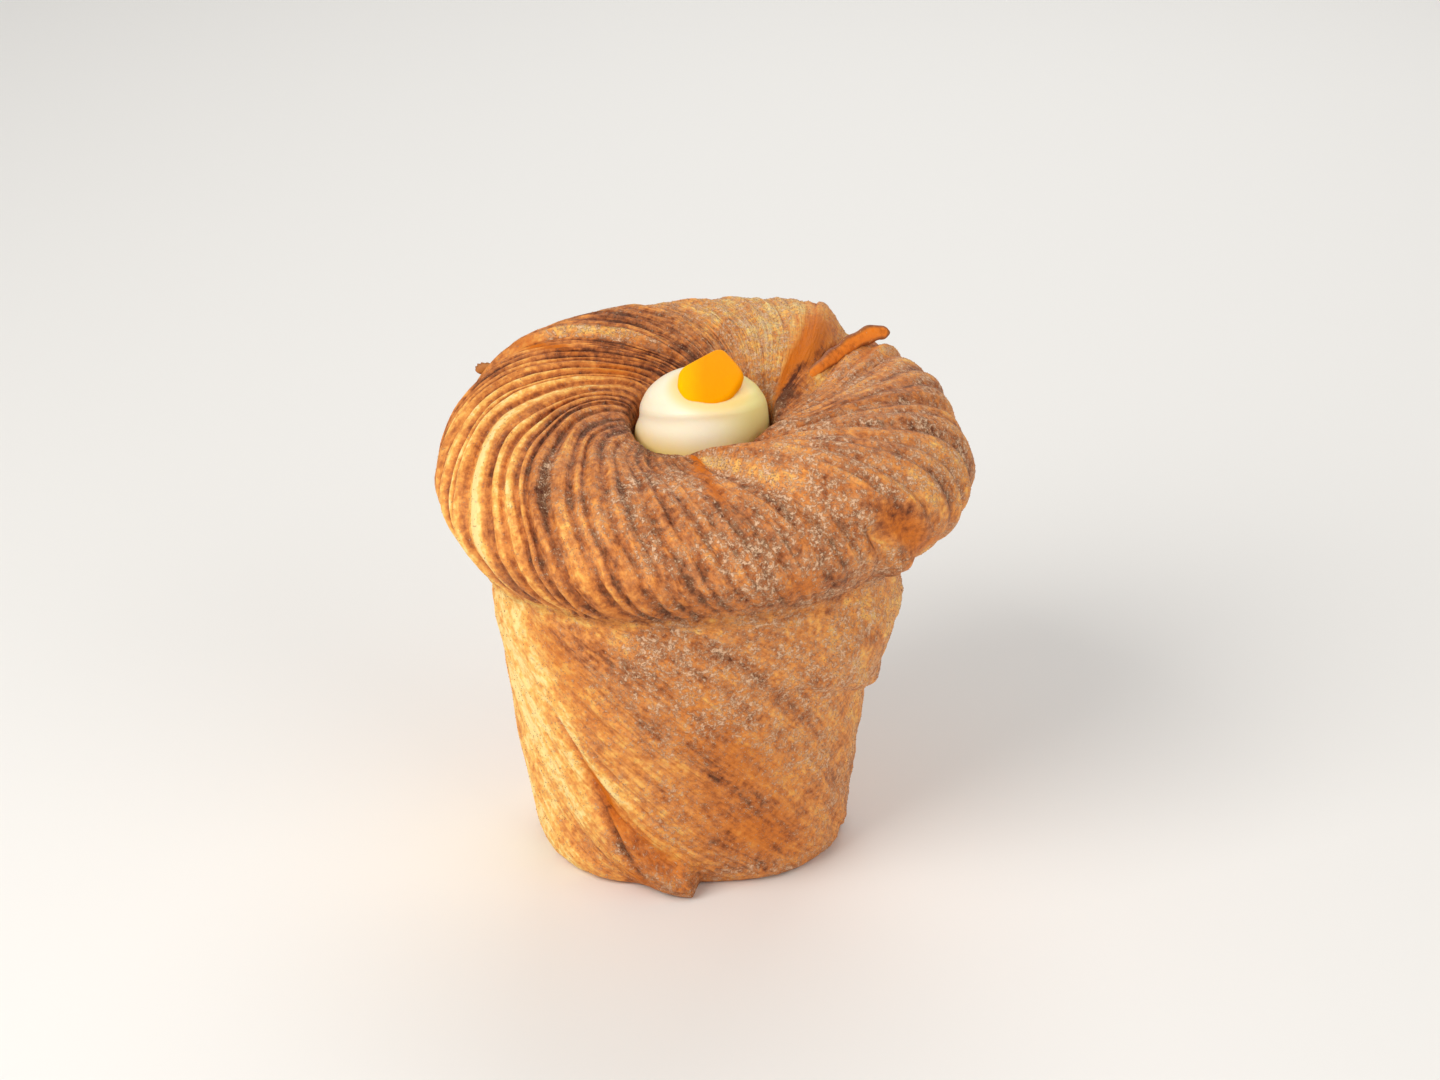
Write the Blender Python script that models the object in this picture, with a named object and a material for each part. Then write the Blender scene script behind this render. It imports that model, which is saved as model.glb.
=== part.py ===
"""A croissant muffin: laminated dough twisted into a cup and baked, its crown filled with cream.

The skin of the pastry is one grid. Its columns are lamination lines: they leave the well, run
over the crown and down the body to the foot, and turn round the axis on the way. Its rows are
rings. The dough lies on the crown in three turns that lap over each other, like a whirl.

Lengths are in millimetres up to the meshes, which are in metres. +X is the right side, -Y the
front, and the origin is the centre of the foot, on the surface that the pastry stands on.
"""

import math
from dataclasses import dataclass

import bmesh
import bpy
import numpy as np

MM = 0.001
GAP = 0.3
WELD = 0.002
ROWS_APART = 0.02

# The crown's well, and the cream that fills it.
WELL_CENTRE = (1.0, 0.3)
WELL_CENTRE_FADES = (14.0, 34.0)
CREAM_RADIUS = 10.65
WELL_RADIUS = CREAM_RADIUS + GAP


@dataclass(frozen=True)
class Ring:
    """A ring of the skin. Radii and heights are in mm, at eight points from the right side on,
    counter-clockwise from above: right, back right, back, back left, left, front left, front,
    front right. Turns are the degrees that the lamination lines have turned here, against where
    they meet the rim, for lines that meet it at evenly spaced points, in the same order."""

    radius: tuple
    height: tuple
    turn: tuple
    relief: float  # share of the laminations' depth
    lap: float  # share of the rise where one turn of dough laps over the next
    rows: int  # rows of faces between this ring and the next


CREASE, FOOT = 13, 20
LIP_TURN = (-69, -69, -66, -64, -64, -66, -70, -72, -70, -60, -58, -68)
RINGS = (
    Ring((7.6,) * 8, (60.0,) * 8, tuple(turn - 10 for turn in LIP_TURN), 0.0, 0.0, 1),
    Ring((10.0,) * 8, (61.0,) * 8, tuple(turn - 8 for turn in LIP_TURN), 0.0, 0.0, 1),
    Ring(
        (WELL_RADIUS,) * 8,
        (66.8, 67.0, 67.0, 67.0, 66.8, 66.0, 65.0, 66.0),
        tuple(turn - 4 for turn in LIP_TURN),
        0.0, 0.0, 1,
    ),
    Ring((11.3,) * 8, (72.6, 72.0, 72.2, 72.0, 71.2, 69.7, 68.9, 69.6), LIP_TURN, 0.1, 0.1, 1),
    Ring(
        (13.6,) * 8,
        (73.9, 74.2, 74.6, 74.0, 73.0, 71.4, 70.5, 71.3),
        (-59, -59, -55, -52, -52, -56, -64, -68, -66, -48, -44, -58),
        0.35, 0.4, 1,
    ),
    Ring(
        (18.0,) * 8,
        (74.8, 75.8, 76.4, 75.6, 74.4, 72.6, 71.6, 72.8),
        (-42, -42, -40, -38, -38, -42, -50, -54, -54, -38, -32, -42),
        0.7, 0.9, 2,
    ),
    Ring(
        (24.0,) * 8,
        (75.4, 76.8, 77.4, 76.6, 75.2, 73.4, 72.4, 73.8),
        (-26, -26, -25, -25, -26, -31, -36, -38, -33, -23, -20, -26),
        0.9, 1.0, 2,
    ),
    Ring(
        (30.0,) * 8,
        (74.8, 76.8, 77.2, 76.2, 74.6, 72.6, 71.4, 73.0),
        (-15, -15, -15, -15, -17, -21, -25, -26, -21, -14, -12, -15),
        1.0, 1.0, 2,
    ),
    Ring(
        (35.6, 36.8, 35.4, 35.0, 34.8, 35.2, 34.8, 35.0),
        (73.2, 75.8, 74.2, 74.0, 72.4, 69.8, 68.4, 70.0),
        (-7, -7, -7, -7, -9, -12, -14, -14, -12, -8, -6, -7),
        1.05, 1.0, 2,
    ),
    Ring(
        (39.8, 41.8, 39.6, 39.2, 38.8, 38.8, 37.8, 38.4),
        (69.6, 71.4, 69.6, 69.0, 67.8, 65.4, 64.6, 65.8),
        (-2.5, -2.5, -2.5, -2.5, -3, -4, -5, -5, -4, -3, -2.5, -2.5),
        1.05, 1.0, 2,
    ),
    Ring(
        (41.6, 42.4, 41.4, 40.6, 40.3, 40.0, 39.0, 39.2),
        (63.0, 64.5, 63.5, 62.8, 61.6, 60.2, 60.4, 61.4),
        (0,), 1.0, 0.9, 2,
    ),
    Ring(
        (38.6, 39.6, 39.4, 37.8, 36.8, 37.8, 37.6, 36.8),
        (58.0, 58.8, 57.0, 55.6, 54.4, 55.2, 56.6, 57.0),
        (3,), 0.9, 0.8, 1,
    ),
    Ring(
        (34.6, 35.6, 35.4, 34.2, 33.4, 34.8, 35.0, 33.6),
        (54.8, 55.0, 53.0, 50.4, 48.6, 52.0, 54.0, 53.8),
        (6,), 0.5, 0.4, 1,
    ),
    Ring(
        (32.0, 32.0, 31.6, 31.8, 32.3, 33.3, 33.4, 31.8),
        (51.8, 51.8, 50.0, 47.0, 45.0, 50.0, 52.2, 51.6),
        (8,), 0.2, 0.1, 1,
    ),
    Ring(
        (31.6, 31.4, 31.0, 31.6, 32.2, 33.0, 32.8, 31.4),
        (45.4, 46.5, 46.0, 43.6, 41.0, 45.0, 47.4, 46.8),
        (12,), 0.22, 0.0, 2,
    ),
    Ring((27.4, 28.6, 29.8, 30.4, 30.8, 30.7, 30.0, 28.4), (32.0,) * 8, (30,), 0.25, 0.0, 2),
    Ring((26.2, 27.0, 28.0, 28.8, 29.4, 28.8, 27.4, 26.2), (21.0,) * 8, (46,), 0.25, 0.0, 2),
    Ring((24.8, 25.4, 26.4, 27.0, 27.6, 27.2, 25.2, 24.6), (10.0,) * 8, (63,), 0.22, 0.0, 2),
    Ring((24.2, 24.6, 25.0, 25.8, 26.6, 26.4, 22.6, 23.4), (3.6,) * 8, (75,), 0.15, 0.0, 1),
    Ring((23.2, 23.4, 23.6, 24.4, 25.4, 25.0, 20.6, 22.4), (0.8,) * 8, (80,), 0.1, 0.0, 1),
    Ring((21.6, 21.8, 22.0, 22.8, 23.8, 23.4, 19.2, 21.0), (0.0,) * 8, (82,), 0.0, 0.0, 1),
)
FOOT_MIDDLE_RADIUS = 15.0


@dataclass(frozen=True)
class Turn:
    """One of the turns of dough on the crown. Angles are at the rim, in degrees. Between its last
    lamination and the next turn's start, the next turn's edge climbs."""

    start: float
    first: float  # mm that it stands proud at its start
    last: float  # mm that it stands proud at its end
    early: float  # degrees that the climb to the next turn begins sooner near the well
    depth: tuple  # mm from valley to crest, at its start and at its end
    widths: tuple  # of its laminations


TURNS = (
    Turn(
        start=-38,
        first=3.2,
        last=-0.6,
        early=0,
        depth=(1.2, 1.1),
        widths=(7, 9, 6.5, 8, 10, 7.5, 9.5, 8, 10.5, 7, 9),
    ),
    Turn(
        start=66,
        first=3.6,
        last=1.8,
        early=0,
        depth=(0.5, 0.7),
        widths=(9, 6, 8, 5.5, 7, 8.5, 6, 7.5, 9, 6.4, 7, 7.5),
    ),
    Turn(
        start=155,
        first=0.0,
        last=-0.8,
        early=12,
        depth=(1.9, 0.8),
        widths=(
            3.5, 4, 3.5, 4.5, 4, 4, 4.5, 9, 7.5, 3.5, 7.5, 11.5, 4.5, 6.5, 3, 6,
            8, 3.5, 6.5, 4.5, 6, 3.5, 6, 4, 3.5, 5.5, 3, 5, 5, 5, 5,
        ),
    ),
)

# The places on RINGS between which an edge's sooner climb fades out.
EARLY_FADES = (7.5, 9.5)

# Across one lamination: the place across it, and its rise as a share of the depth. One that is
# narrower than the full width rises less.
LAYER_SHAPE = ((0.0, -0.55), (0.3, 0.38), (0.68, 0.45))
FULL_WIDTH = 6.0
# A broad edge is round: the lines on it, as shares of its climb.
BROAD_CLIMB = 4.0
BROAD_CLIMB_LINES = (0.3, 0.62)

# The tail: the dough's outer end, a strip that leaves the body along a lamination line and lies
# out on the ground, where it is cut off upright at an angle round the axis.
TAIL_LINE = 186.0
TAIL_WIDTH = 26.0
TAIL_EDGE = 1.5
TAIL_END = 267.5
TAIL_REACH = 4.6
TAIL_HEIGHT = 30.0
TAIL_END_HEIGHT = 10.0
TAIL_SWEEP = 1.6

# The hollow: the dark recess under the lapping edge, where it meets the rim on the right side.
HOLLOW_LINE = 321.0
HOLLOW_HALF_WIDTH = 8.0
HOLLOW_RING = 9.7
HOLLOW_HALF_HEIGHT = 1.5
HOLLOW_DEPTH = 2.4
HOLLOW_FLAT = 0.25

# The roll: the lapping turn's lower end, which bulges under the crown on the right side.
ROLL_CENTRE = -8.0
ROLL_HALF_WIDTH = 62.0
ROLL_REACH = 2.2
ROLL_LOWEST = 26.5
ROLL_CLIMB = 13.0
ROLL_EDGE = 2.2
ROLL_FADES = (40.0, 50.0)


@dataclass(frozen=True)
class Flake:
    """A thin strip of dough that stands off the skin. Each point gives the place on RINGS, the
    lamination line in degrees, the mm that it stands proud, and the strip's width in mm."""

    points: tuple
    thickness: float
    lean: float  # degrees that its width leans from the skin's outward direction


FLAKES = (
    Flake(
        points=(
            (4.6, 55, -0.4, 1.4), (5.8, 52, 0.4, 2.4), (6.8, 50, 0.9, 2.8),
            (7.6, 47, 1.5, 2.6), (8.3, 43, 2.4, 2.2),
        ),
        thickness=1.3,
        lean=20.0,
    ),
    Flake(
        points=((8.7, 151.0, -0.6, 1.6), (8.9, 151.4, 0.4, 2.2), (9.05, 151.8, 1.0, 1.8)),
        thickness=0.9,
        lean=-10.0,
    ),
)
FLAKE_SIDES = 8
FLAKE_STEPS = 4
FLAKE_END = 0.97
FLAKE_BLUNTNESS = 8

# The cream's outline from its foot to its top: radius, height, and the share of the tilt that it
# takes. A soft crease parts the lower tier from the upper one and climbs to the front, by
# CREAM_TILT mm each way from the middle of the crease, most towards the angle CREAM_TILT_TO.
CREAM_OUTLINE = (
    (7.2, 60.3, 0.0), (9.0, 61.4, 0.0), (10.2, 64.0, 0.0), (CREAM_RADIUS, 67.0, 0.3),
    (10.55, 69.6, 0.6), (10.3, 71.6, 0.9), (9.75, 72.6, 1.0), (9.65, 73.1, 1.0), (9.9, 73.9, 0.9),
    (9.6, 75.0, 0.7), (8.6, 76.6, 0.4), (6.9, 77.9, 0.15), (4.6, 78.8, 0.0), (2.3, 79.3, 0.0),
)
CREAM_TILT = 2.4
CREAM_TILT_TO = math.radians(290)
CREAM_SIDES = 30

# The fruit: a cut piece that lies on the cream's front. Its corners, and how round its edges are.
FRUIT_CORNERS = (
    (3.7, 2.7, 82.5), (-2.6, -0.6, 79.8), (-2.7, -4.4, 78.7), (0.3, -8.2, 78.0),
    (4.4, -7.6, 78.2), (7.4, -2.6, 79.4), (7.0, -0.6, 80.9), (4.5, 5.2, 79.2),
    (-0.5, 4.0, 78.6), (1.0, -6.6, 75.9), (4.2, -6.2, 76.0), (2.6, -1.0, 75.4),
)
FRUIT_ROUNDING = 0.5
FRUIT_ROUNDING_STEPS = 2
FRUIT_POCKET = 1.12

CRUST_COLOUR = (0.50, 0.24, 0.08)
CREAM_COLOUR = (0.95, 0.80, 0.42)
FRUIT_COLOUR = (0.98, 0.42, 0.02)
SHARP_EDGE = math.radians(50)


def spline(a, b, c, d, t):
    """The smooth curve from b to c, between neighbours a and d."""
    return b + 0.5 * t * (c - a + t * (2 * a - 5 * b + 4 * c - d + t * (3 * (b - c) + d - a)))


def smooth(value, low, high):
    """0 below low, 1 above high, and an even climb between them."""
    t = np.clip((value - low) / (high - low), 0, 1)
    return t * t * (3 - 2 * t)


def away_from(angle, middle):
    """How far an angle is from another, in degrees, from -180 to 180."""
    return (angle - middle + 180) % 360 - 180


def around(values, angle):
    """The closed curve through a ring's eight values, at angles in radians."""
    place = angle / math.tau * len(values)
    low = np.floor(place).astype(int)
    points = (np.take(values, low + k, mode="wrap") for k in (-1, 0, 1, 2))
    return spline(*points, place - low)


def down_the_skin(place, values):
    """The curve through one value for each ring, at places on RINGS."""
    low = np.clip(np.floor(place).astype(int), 0, FOOT - 1)
    whole = np.broadcast_to(values, (len(RINGS), *np.shape(place)))
    points = (
        np.take_along_axis(whole, np.clip(low + k, 0, FOOT)[None], axis=0)[0]
        for k in (-1, 0, 1, 2)
    )
    return spline(*points, place - low)


def each_ring(name, place):
    """One of the rings' plain numbers, at places on RINGS."""
    numbers = np.array([getattr(ring, name) for ring in RINGS])
    return down_the_skin(place, numbers.reshape(-1, *[1] * np.ndim(place)))


def round_the_skin(name, place, angle):
    """One of the rings' closed curves, at places on RINGS and angles in radians."""
    return down_the_skin(place, np.stack([around(getattr(ring, name), angle) for ring in RINGS]))


def bare_outline(place, angle):
    """Radius and height of the skin without relief."""
    return round_the_skin("radius", place, angle), round_the_skin("height", place, angle)


def line_angle(place, line):
    """Where lamination lines, by their degrees at the rim, stand at places on RINGS: radians."""
    return np.radians(line + round_the_skin("turn", place, np.radians(line)))


def tail_rise(angle, line, height):
    """How far the tail stands off the body: most at the foot, and sharp along its edge and end."""
    across = away_from(line, TAIL_LINE)
    past_end = away_from(np.degrees(angle), TAIL_END)
    strip = smooth(across, -TAIL_WIDTH, 0) * (1 - smooth(past_end, 0, TAIL_EDGE))
    top = TAIL_HEIGHT + (TAIL_END_HEIGHT - TAIL_HEIGHT) * smooth(across, 0, TAIL_EDGE)
    return TAIL_REACH * strip * (1 - smooth(height, 0, top)) ** TAIL_SWEEP


def hollow_drop(line, place):
    """How deep the hollow under the lapping edge is sunk."""
    across = away_from(line, HOLLOW_LINE) / HOLLOW_HALF_WIDTH
    down = (place - HOLLOW_RING) / HOLLOW_HALF_HEIGHT
    return HOLLOW_DEPTH * (1 - smooth(np.hypot(across, down), HOLLOW_FLAT, 1))


def roll_rise(angle, height):
    """How far the roll under the crown stands off the body. Its lower edge climbs to the front."""
    across = away_from(np.degrees(angle), ROLL_CENTRE)
    low = ROLL_LOWEST + ROLL_CLIMB * np.clip(-across / ROLL_HALF_WIDTH, 0, 1)
    band = smooth(height, low, low + ROLL_EDGE) * (1 - smooth(height, *ROLL_FADES))
    return ROLL_REACH * band * (1 - smooth(np.abs(across), ROLL_HALF_WIDTH / 2, ROLL_HALF_WIDTH))


def lap_rise(place, line):
    """How proud the dough stands, with its edges' climbs, in mm."""
    rise = np.zeros(np.broadcast(place, line).shape)
    for turn, after in zip(TURNS, TURNS[1:] + TURNS[:1]):
        past = (line - turn.start) % 360
        span, whole = sum(turn.widths), (after.start - turn.start) % 360
        level = turn.first + (turn.last - turn.first) * np.minimum(past / span, 1)
        climb_from = span - turn.early * (1 - smooth(place, *EARLY_FADES))
        climbed = level + (after.first - level) * smooth(past, climb_from, whole)
        rise = np.where(past < whole, climbed, rise)
    return rise * each_ring("lap", place)


def skin(place, line, relief):
    """Points of the skin in mm, and its outward directions, where lamination lines with this
    relief in mm pass these places on RINGS."""
    angle = line_angle(place, line)
    before = bare_outline(place - ROWS_APART, angle)
    after = bare_outline(place + ROWS_APART, angle)
    run, drop = after[0] - before[0], after[1] - before[1]
    length = np.hypot(run, drop)
    out_radius, out_height = -drop / length, run / length
    rise = relief * each_ring("relief", place) + lap_rise(place, line)
    rise = rise - hollow_drop(line, place)
    radius, height = bare_outline(place, angle)
    below_crown = smooth(place, CREASE - 1, CREASE + 1)
    radius = radius + rise * out_radius
    radius = radius + below_crown * (tail_rise(angle, line, height) + roll_rise(angle, height))
    height = np.maximum(height + rise * out_height, 0)
    off_centre = 1 - smooth(radius, *WELL_CENTRE_FADES)
    x = radius * np.cos(angle) + off_centre * WELL_CENTRE[0]
    y = radius * np.sin(angle) + off_centre * WELL_CENTRE[1]
    outward = np.stack((out_radius * np.cos(angle), out_radius * np.sin(angle), out_height), -1)
    return np.stack((x, y, height), -1), outward


def lamination_lines():
    """The grid's columns: each line's angle at the rim and its relief in mm."""
    lines = []
    for turn, after in zip(TURNS, TURNS[1:] + TURNS[:1]):
        span, whole = sum(turn.widths), (after.start - turn.start) % 360
        edge = 0.0
        for width in turn.widths:
            depth = turn.depth[0] + (turn.depth[1] - turn.depth[0]) * edge / span
            depth *= min(width / FULL_WIDTH, 1)
            for share, rise in LAYER_SHAPE:
                lines.append((turn.start + edge + share * width, rise * depth))
            edge += width
        lines.append((turn.start + span, LAYER_SHAPE[0][1] * depth))
        if whole - span > BROAD_CLIMB:
            broad = whole - span
            lines += [(turn.start + span + share * broad, 0.0) for share in BROAD_CLIMB_LINES]
    return np.array(lines)


def ring_places():
    """The grid's rows, as places on RINGS."""
    places = [i + k / ring.rows for i, ring in enumerate(RINGS[:-1]) for k in range(ring.rows)]
    return np.array([*places, float(FOOT)])


def foot_faces(points, ring):
    """Faces that close the foot's flat ring round one large triangle, and its corners."""
    third = math.tau / 3
    corners = [
        (FOOT_MIDDLE_RADIUS * math.cos(k * third), FOOT_MIDDLE_RADIUS * math.sin(k * third), 0.0)
        for k in range(3)
    ]
    nearest = []
    for here, there in zip(ring, [*ring[1:], ring[0]]):
        x, y, _ = points[here] + points[there]
        nearest.append(len(points) + round(math.atan2(y, x) / third) % 3)
    faces = [tuple(len(points) + k for k in (0, 2, 1))]
    for k, (here, there) in enumerate(zip(ring, [*ring[1:], ring[0]])):
        faces.append((there, here, nearest[k]))
        if nearest[k - 1] != nearest[k]:
            faces.append((here, nearest[k - 1], nearest[k]))
    return corners, faces


def band_faces(rows, columns):
    """The four-sided faces of a grid of points that closes on itself along its rows."""
    return [
        (a * columns + b, (a + 1) * columns + b, (a + 1) * columns + c, a * columns + c)
        for a in range(rows - 1)
        for b, c in zip(range(columns), [*range(1, columns), 0])
    ]


def pastry_skin():
    """The pastry's closed skin, without its flakes: points in mm and faces."""
    lines, relief = lamination_lines().T
    place, line = np.meshgrid(ring_places(), lines, indexing="ij")
    points, _ = skin(place, line, relief)
    rows, columns = place.shape
    points = points.reshape(-1, 3)
    corners, closing = foot_faces(points, range((rows - 1) * columns, rows * columns))
    well_floor = tuple(range(columns))
    return [*points, *corners], [*band_faces(rows, columns), well_floor, *closing]


def closed_tube(rings):
    """Points and faces of a tube through rings of points, with its ends closed."""
    count, sides, _ = rings.shape
    ends = [tuple(range(sides)), tuple(reversed(range((count - 1) * sides, count * sides)))]
    return rings.reshape(-1, 3), band_faces(count, sides) + ends


def flake_tube(flake):
    """Points and faces of a flake: a flat tube along its points, rounded off at both ends."""
    given = np.array(flake.points)
    padded = np.vstack((2 * given[0] - given[1], given, 2 * given[-1] - given[-2]))
    steps = np.linspace(0, len(given) - 1, (len(given) - 1) * FLAKE_STEPS + 1)
    low = np.minimum(steps.astype(int), len(given) - 2)
    place, line, lift, width = spline(*(padded[low + k] for k in range(4)), (steps - low)[:, None]).T
    on_skin, outward = skin(place, line, 0.0)
    middle = on_skin + lift[:, None] * outward
    across = np.cross(np.gradient(middle, axis=0), outward)
    across /= np.linalg.norm(across, axis=1)[:, None]
    lean = math.radians(flake.lean)
    tall = outward * math.cos(lean) + across * math.sin(lean)
    flat = across * math.cos(lean) - outward * math.sin(lean)
    from_middle = np.abs(np.linspace(-FLAKE_END, FLAKE_END, len(steps)))
    half_width = (width / 2 * np.sqrt(1 - from_middle**FLAKE_BLUNTNESS))[:, None]
    turn = math.tau / FLAKE_SIDES
    sides = [
        middle + half_width * math.cos(k * turn) * tall
        + flake.thickness / 2 * math.sin(k * turn) * flat
        for k in range(FLAKE_SIDES)
    ]
    return closed_tube(np.stack(sides, axis=1))


def plain_material(name, colour, roughness):
    """A Principled material of one colour."""
    material = bpy.data.materials.new(name)
    material.use_nodes = True
    shader = material.node_tree.nodes["Principled BSDF"]
    shader.inputs["Base Color"].default_value = (*colour, 1)
    shader.inputs["Roughness"].default_value = roughness
    shader.inputs["Metallic"].default_value = 0.0
    return material


def object_from(name, work, material=None):
    """An object from a bmesh in mm, with its faces pointing out."""
    bmesh.ops.scale(work, vec=(MM, MM, MM), verts=work.verts)
    bmesh.ops.recalc_face_normals(work, faces=work.faces)
    mesh = bpy.data.meshes.new(name)
    work.to_mesh(mesh)
    work.free()
    if material:
        mesh.materials.append(material)
    made = bpy.data.objects.new(name, mesh)
    bpy.context.scene.collection.objects.link(made)
    return made


def solid(name, points, faces, material):
    """An object from points in mm and faces."""
    work = bmesh.new()
    corners = [work.verts.new(point) for point in points]
    for face in faces:
        work.faces.new([corners[k] for k in face])
    return object_from(name, work, material)


def drop_scraps(mesh):
    """Weld points that all but meet, drop needless ones, and keep only the largest body."""
    work = bmesh.new()
    work.from_mesh(mesh)
    bmesh.ops.remove_doubles(work, verts=work.verts, dist=WELD * MM)
    bmesh.ops.dissolve_degenerate(work, edges=work.edges, dist=WELD * MM)
    needless = [point for point in work.verts if len(point.link_edges) == 2]
    bmesh.ops.dissolve_verts(work, verts=needless)
    left, bodies = set(work.verts), []
    while left:
        body, edge = set(), [left.pop()]
        while edge:
            point = edge.pop()
            body.add(point)
            near = {link.other_vert(point) for link in point.link_edges} & left
            left -= near
            edge += near
        bodies.append(body)
    largest = max(bodies, key=len)
    loose = [point for point in work.verts if point not in largest]
    bmesh.ops.delete(work, geom=loose, context="VERTS")
    work.to_mesh(mesh)
    work.free()


def combine(target, others, operation):
    """Join others to the target, or cut them out of it, and remove them."""
    group = bpy.data.collections.new(f"{target.name}_{operation.lower()}")
    bpy.context.scene.collection.children.link(group)
    for other in others:
        group.objects.link(other)
    change = target.modifiers.new(operation.lower(), "BOOLEAN")
    change.operation = operation
    change.operand_type = "COLLECTION"
    change.collection = group
    change.solver = "EXACT"
    bpy.context.view_layer.update()
    result = target.evaluated_get(bpy.context.evaluated_depsgraph_get())
    mesh = bpy.data.meshes.new_from_object(result)
    drop_scraps(mesh)
    target.modifiers.clear()
    target.data = mesh
    for other in others:
        bpy.data.objects.remove(other)
    bpy.data.collections.remove(group)


def make_pastry():
    """The pastry: one solid, with its flakes joined to it."""
    crust = plain_material("crust", CRUST_COLOUR, 0.6)
    pastry = solid("pastry", *pastry_skin(), crust)
    flakes = [
        solid(f"flake_{k}", *flake_tube(flake), crust) for k, flake in enumerate(FLAKES)
    ]
    combine(pastry, flakes, "UNION")
    return pastry


def cut_fruit(name, growth, material=None):
    """The cut fruit with its edges rounded, or a larger copy about its own middle."""
    corners = np.array(FRUIT_CORNERS)
    middle = corners.mean(axis=0)
    work = bmesh.new()
    for corner in middle + growth * (corners - middle):
        work.verts.new(corner)
    bmesh.ops.convex_hull(work, input=work.verts)
    bmesh.ops.bevel(
        work,
        geom=work.edges[:],
        offset=FRUIT_ROUNDING,
        segments=FRUIT_ROUNDING_STEPS,
        profile=0.5,
        affect="EDGES",
        clamp_overlap=True,
    )
    return object_from(name, work, material)


def make_cream():
    """The cream: two soft tiers, with a pocket for the fruit."""
    radius, height, share = (column[:, None] for column in np.array(CREAM_OUTLINE).T)
    angle = np.arange(CREAM_SIDES) * math.tau / CREAM_SIDES
    height = height + share * CREAM_TILT * np.cos(angle - CREAM_TILT_TO)
    x = WELL_CENTRE[0] + radius * np.cos(angle)
    y = WELL_CENTRE[1] + radius * np.sin(angle)
    rings = np.stack((x, y, np.broadcast_to(height, x.shape)), axis=-1)
    cream = solid("cream", *closed_tube(rings), plain_material("cream", CREAM_COLOUR, 0.35))
    combine(cream, [cut_fruit("pocket", FRUIT_POCKET)], "DIFFERENCE")
    return cream


def main():
    """Build the pastry, the cream and the fruit."""
    for thing in list(bpy.data.objects):
        bpy.data.objects.remove(thing)
    fruit = plain_material("fruit", FRUIT_COLOUR, 0.2)
    for piece in (make_pastry(), make_cream(), cut_fruit("fruit", 1.0, fruit)):
        piece.data.shade_smooth()
        piece.data.set_sharp_from_angle(angle=SHARP_EDGE)


main()
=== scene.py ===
"""The looks of a croissant muffin: laminated dough twisted, baked in a cup and filled with cream.

The dough's form is written in millimetres and degrees; meshes, lights and camera are in metres.
+X is the right side, -Y the front, +Z up, and the origin is the centre of the foot.
"""

import logging
import math
from collections.abc import Iterable, Sequence
from dataclasses import dataclass
from enum import Enum
from functools import partial, reduce
from typing import Any

import bpy
import numpy as np
from mathutils import Matrix, Vector


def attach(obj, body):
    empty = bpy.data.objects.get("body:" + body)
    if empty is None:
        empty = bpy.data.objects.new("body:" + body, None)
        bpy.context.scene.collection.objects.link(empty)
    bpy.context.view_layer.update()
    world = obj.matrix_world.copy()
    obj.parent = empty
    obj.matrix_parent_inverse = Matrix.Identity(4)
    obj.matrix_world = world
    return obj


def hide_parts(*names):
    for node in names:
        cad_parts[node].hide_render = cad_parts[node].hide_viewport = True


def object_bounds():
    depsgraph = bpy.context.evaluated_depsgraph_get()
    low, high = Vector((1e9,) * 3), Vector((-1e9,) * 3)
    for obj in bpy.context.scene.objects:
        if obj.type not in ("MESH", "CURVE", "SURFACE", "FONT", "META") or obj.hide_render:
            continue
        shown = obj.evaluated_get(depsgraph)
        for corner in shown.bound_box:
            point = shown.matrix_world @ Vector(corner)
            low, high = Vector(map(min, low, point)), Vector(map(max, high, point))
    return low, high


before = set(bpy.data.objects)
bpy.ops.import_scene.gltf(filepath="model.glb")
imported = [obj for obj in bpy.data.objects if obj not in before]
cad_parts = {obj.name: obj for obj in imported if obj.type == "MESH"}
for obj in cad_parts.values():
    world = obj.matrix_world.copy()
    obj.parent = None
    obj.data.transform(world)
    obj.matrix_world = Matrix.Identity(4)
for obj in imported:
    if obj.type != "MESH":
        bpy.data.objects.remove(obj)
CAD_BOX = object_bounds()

LOG = logging.getLogger("croissant_muffin")
MM = 0.001
BODY = "root"

Pair = tuple[float, float]
Triple = tuple[float, float, float]
Row = tuple[float, ...]
Colour = Triple


# --- Curves ---


def spline(a: Any, b: Any, c: Any, d: Any, t: Any) -> Any:
    """Smooth curve from b to c, between their neighbours.

    Args:
        a: The value before b.
        b: The value at t = 0.
        c: The value at t = 1.
        d: The value after c.
        t: How far between b and c.

    Returns:
        The curve's value.
    """
    return b + 0.5 * t * (c - a + t * (2 * a - 5 * b + 4 * c - d + t * (3 * (b - c) + d - a)))


def smooth(value: Any, low: float, high: Any) -> Any:
    """Even climb from 0 to 1.

    Args:
        value: Where to read the climb.
        low: Where it starts.
        high: Where it ends.

    Returns:
        0 below low, 1 above high.
    """
    t = np.clip((value - low) / (high - low), 0, 1)
    return t * t * (3 - 2 * t)


def away_from(angle: Any, middle: Any) -> Any:
    """Degrees from one angle to another, from -180 to 180."""
    return (angle - middle + 180) % 360 - 180


def around(values: Sequence[float], angle: np.ndarray) -> np.ndarray:
    """Closed curve through evenly spaced values.

    Args:
        values: The values, counter-clockwise from the right side on.
        angle: Where to read the curve, in radians.

    Returns:
        The curve at those angles.
    """
    place = angle / math.tau * len(values)
    low = np.floor(place).astype(int)
    points = (np.take(values, low + k, mode="wrap") for k in (-1, 0, 1, 2))
    return spline(*points, place - low)


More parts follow.
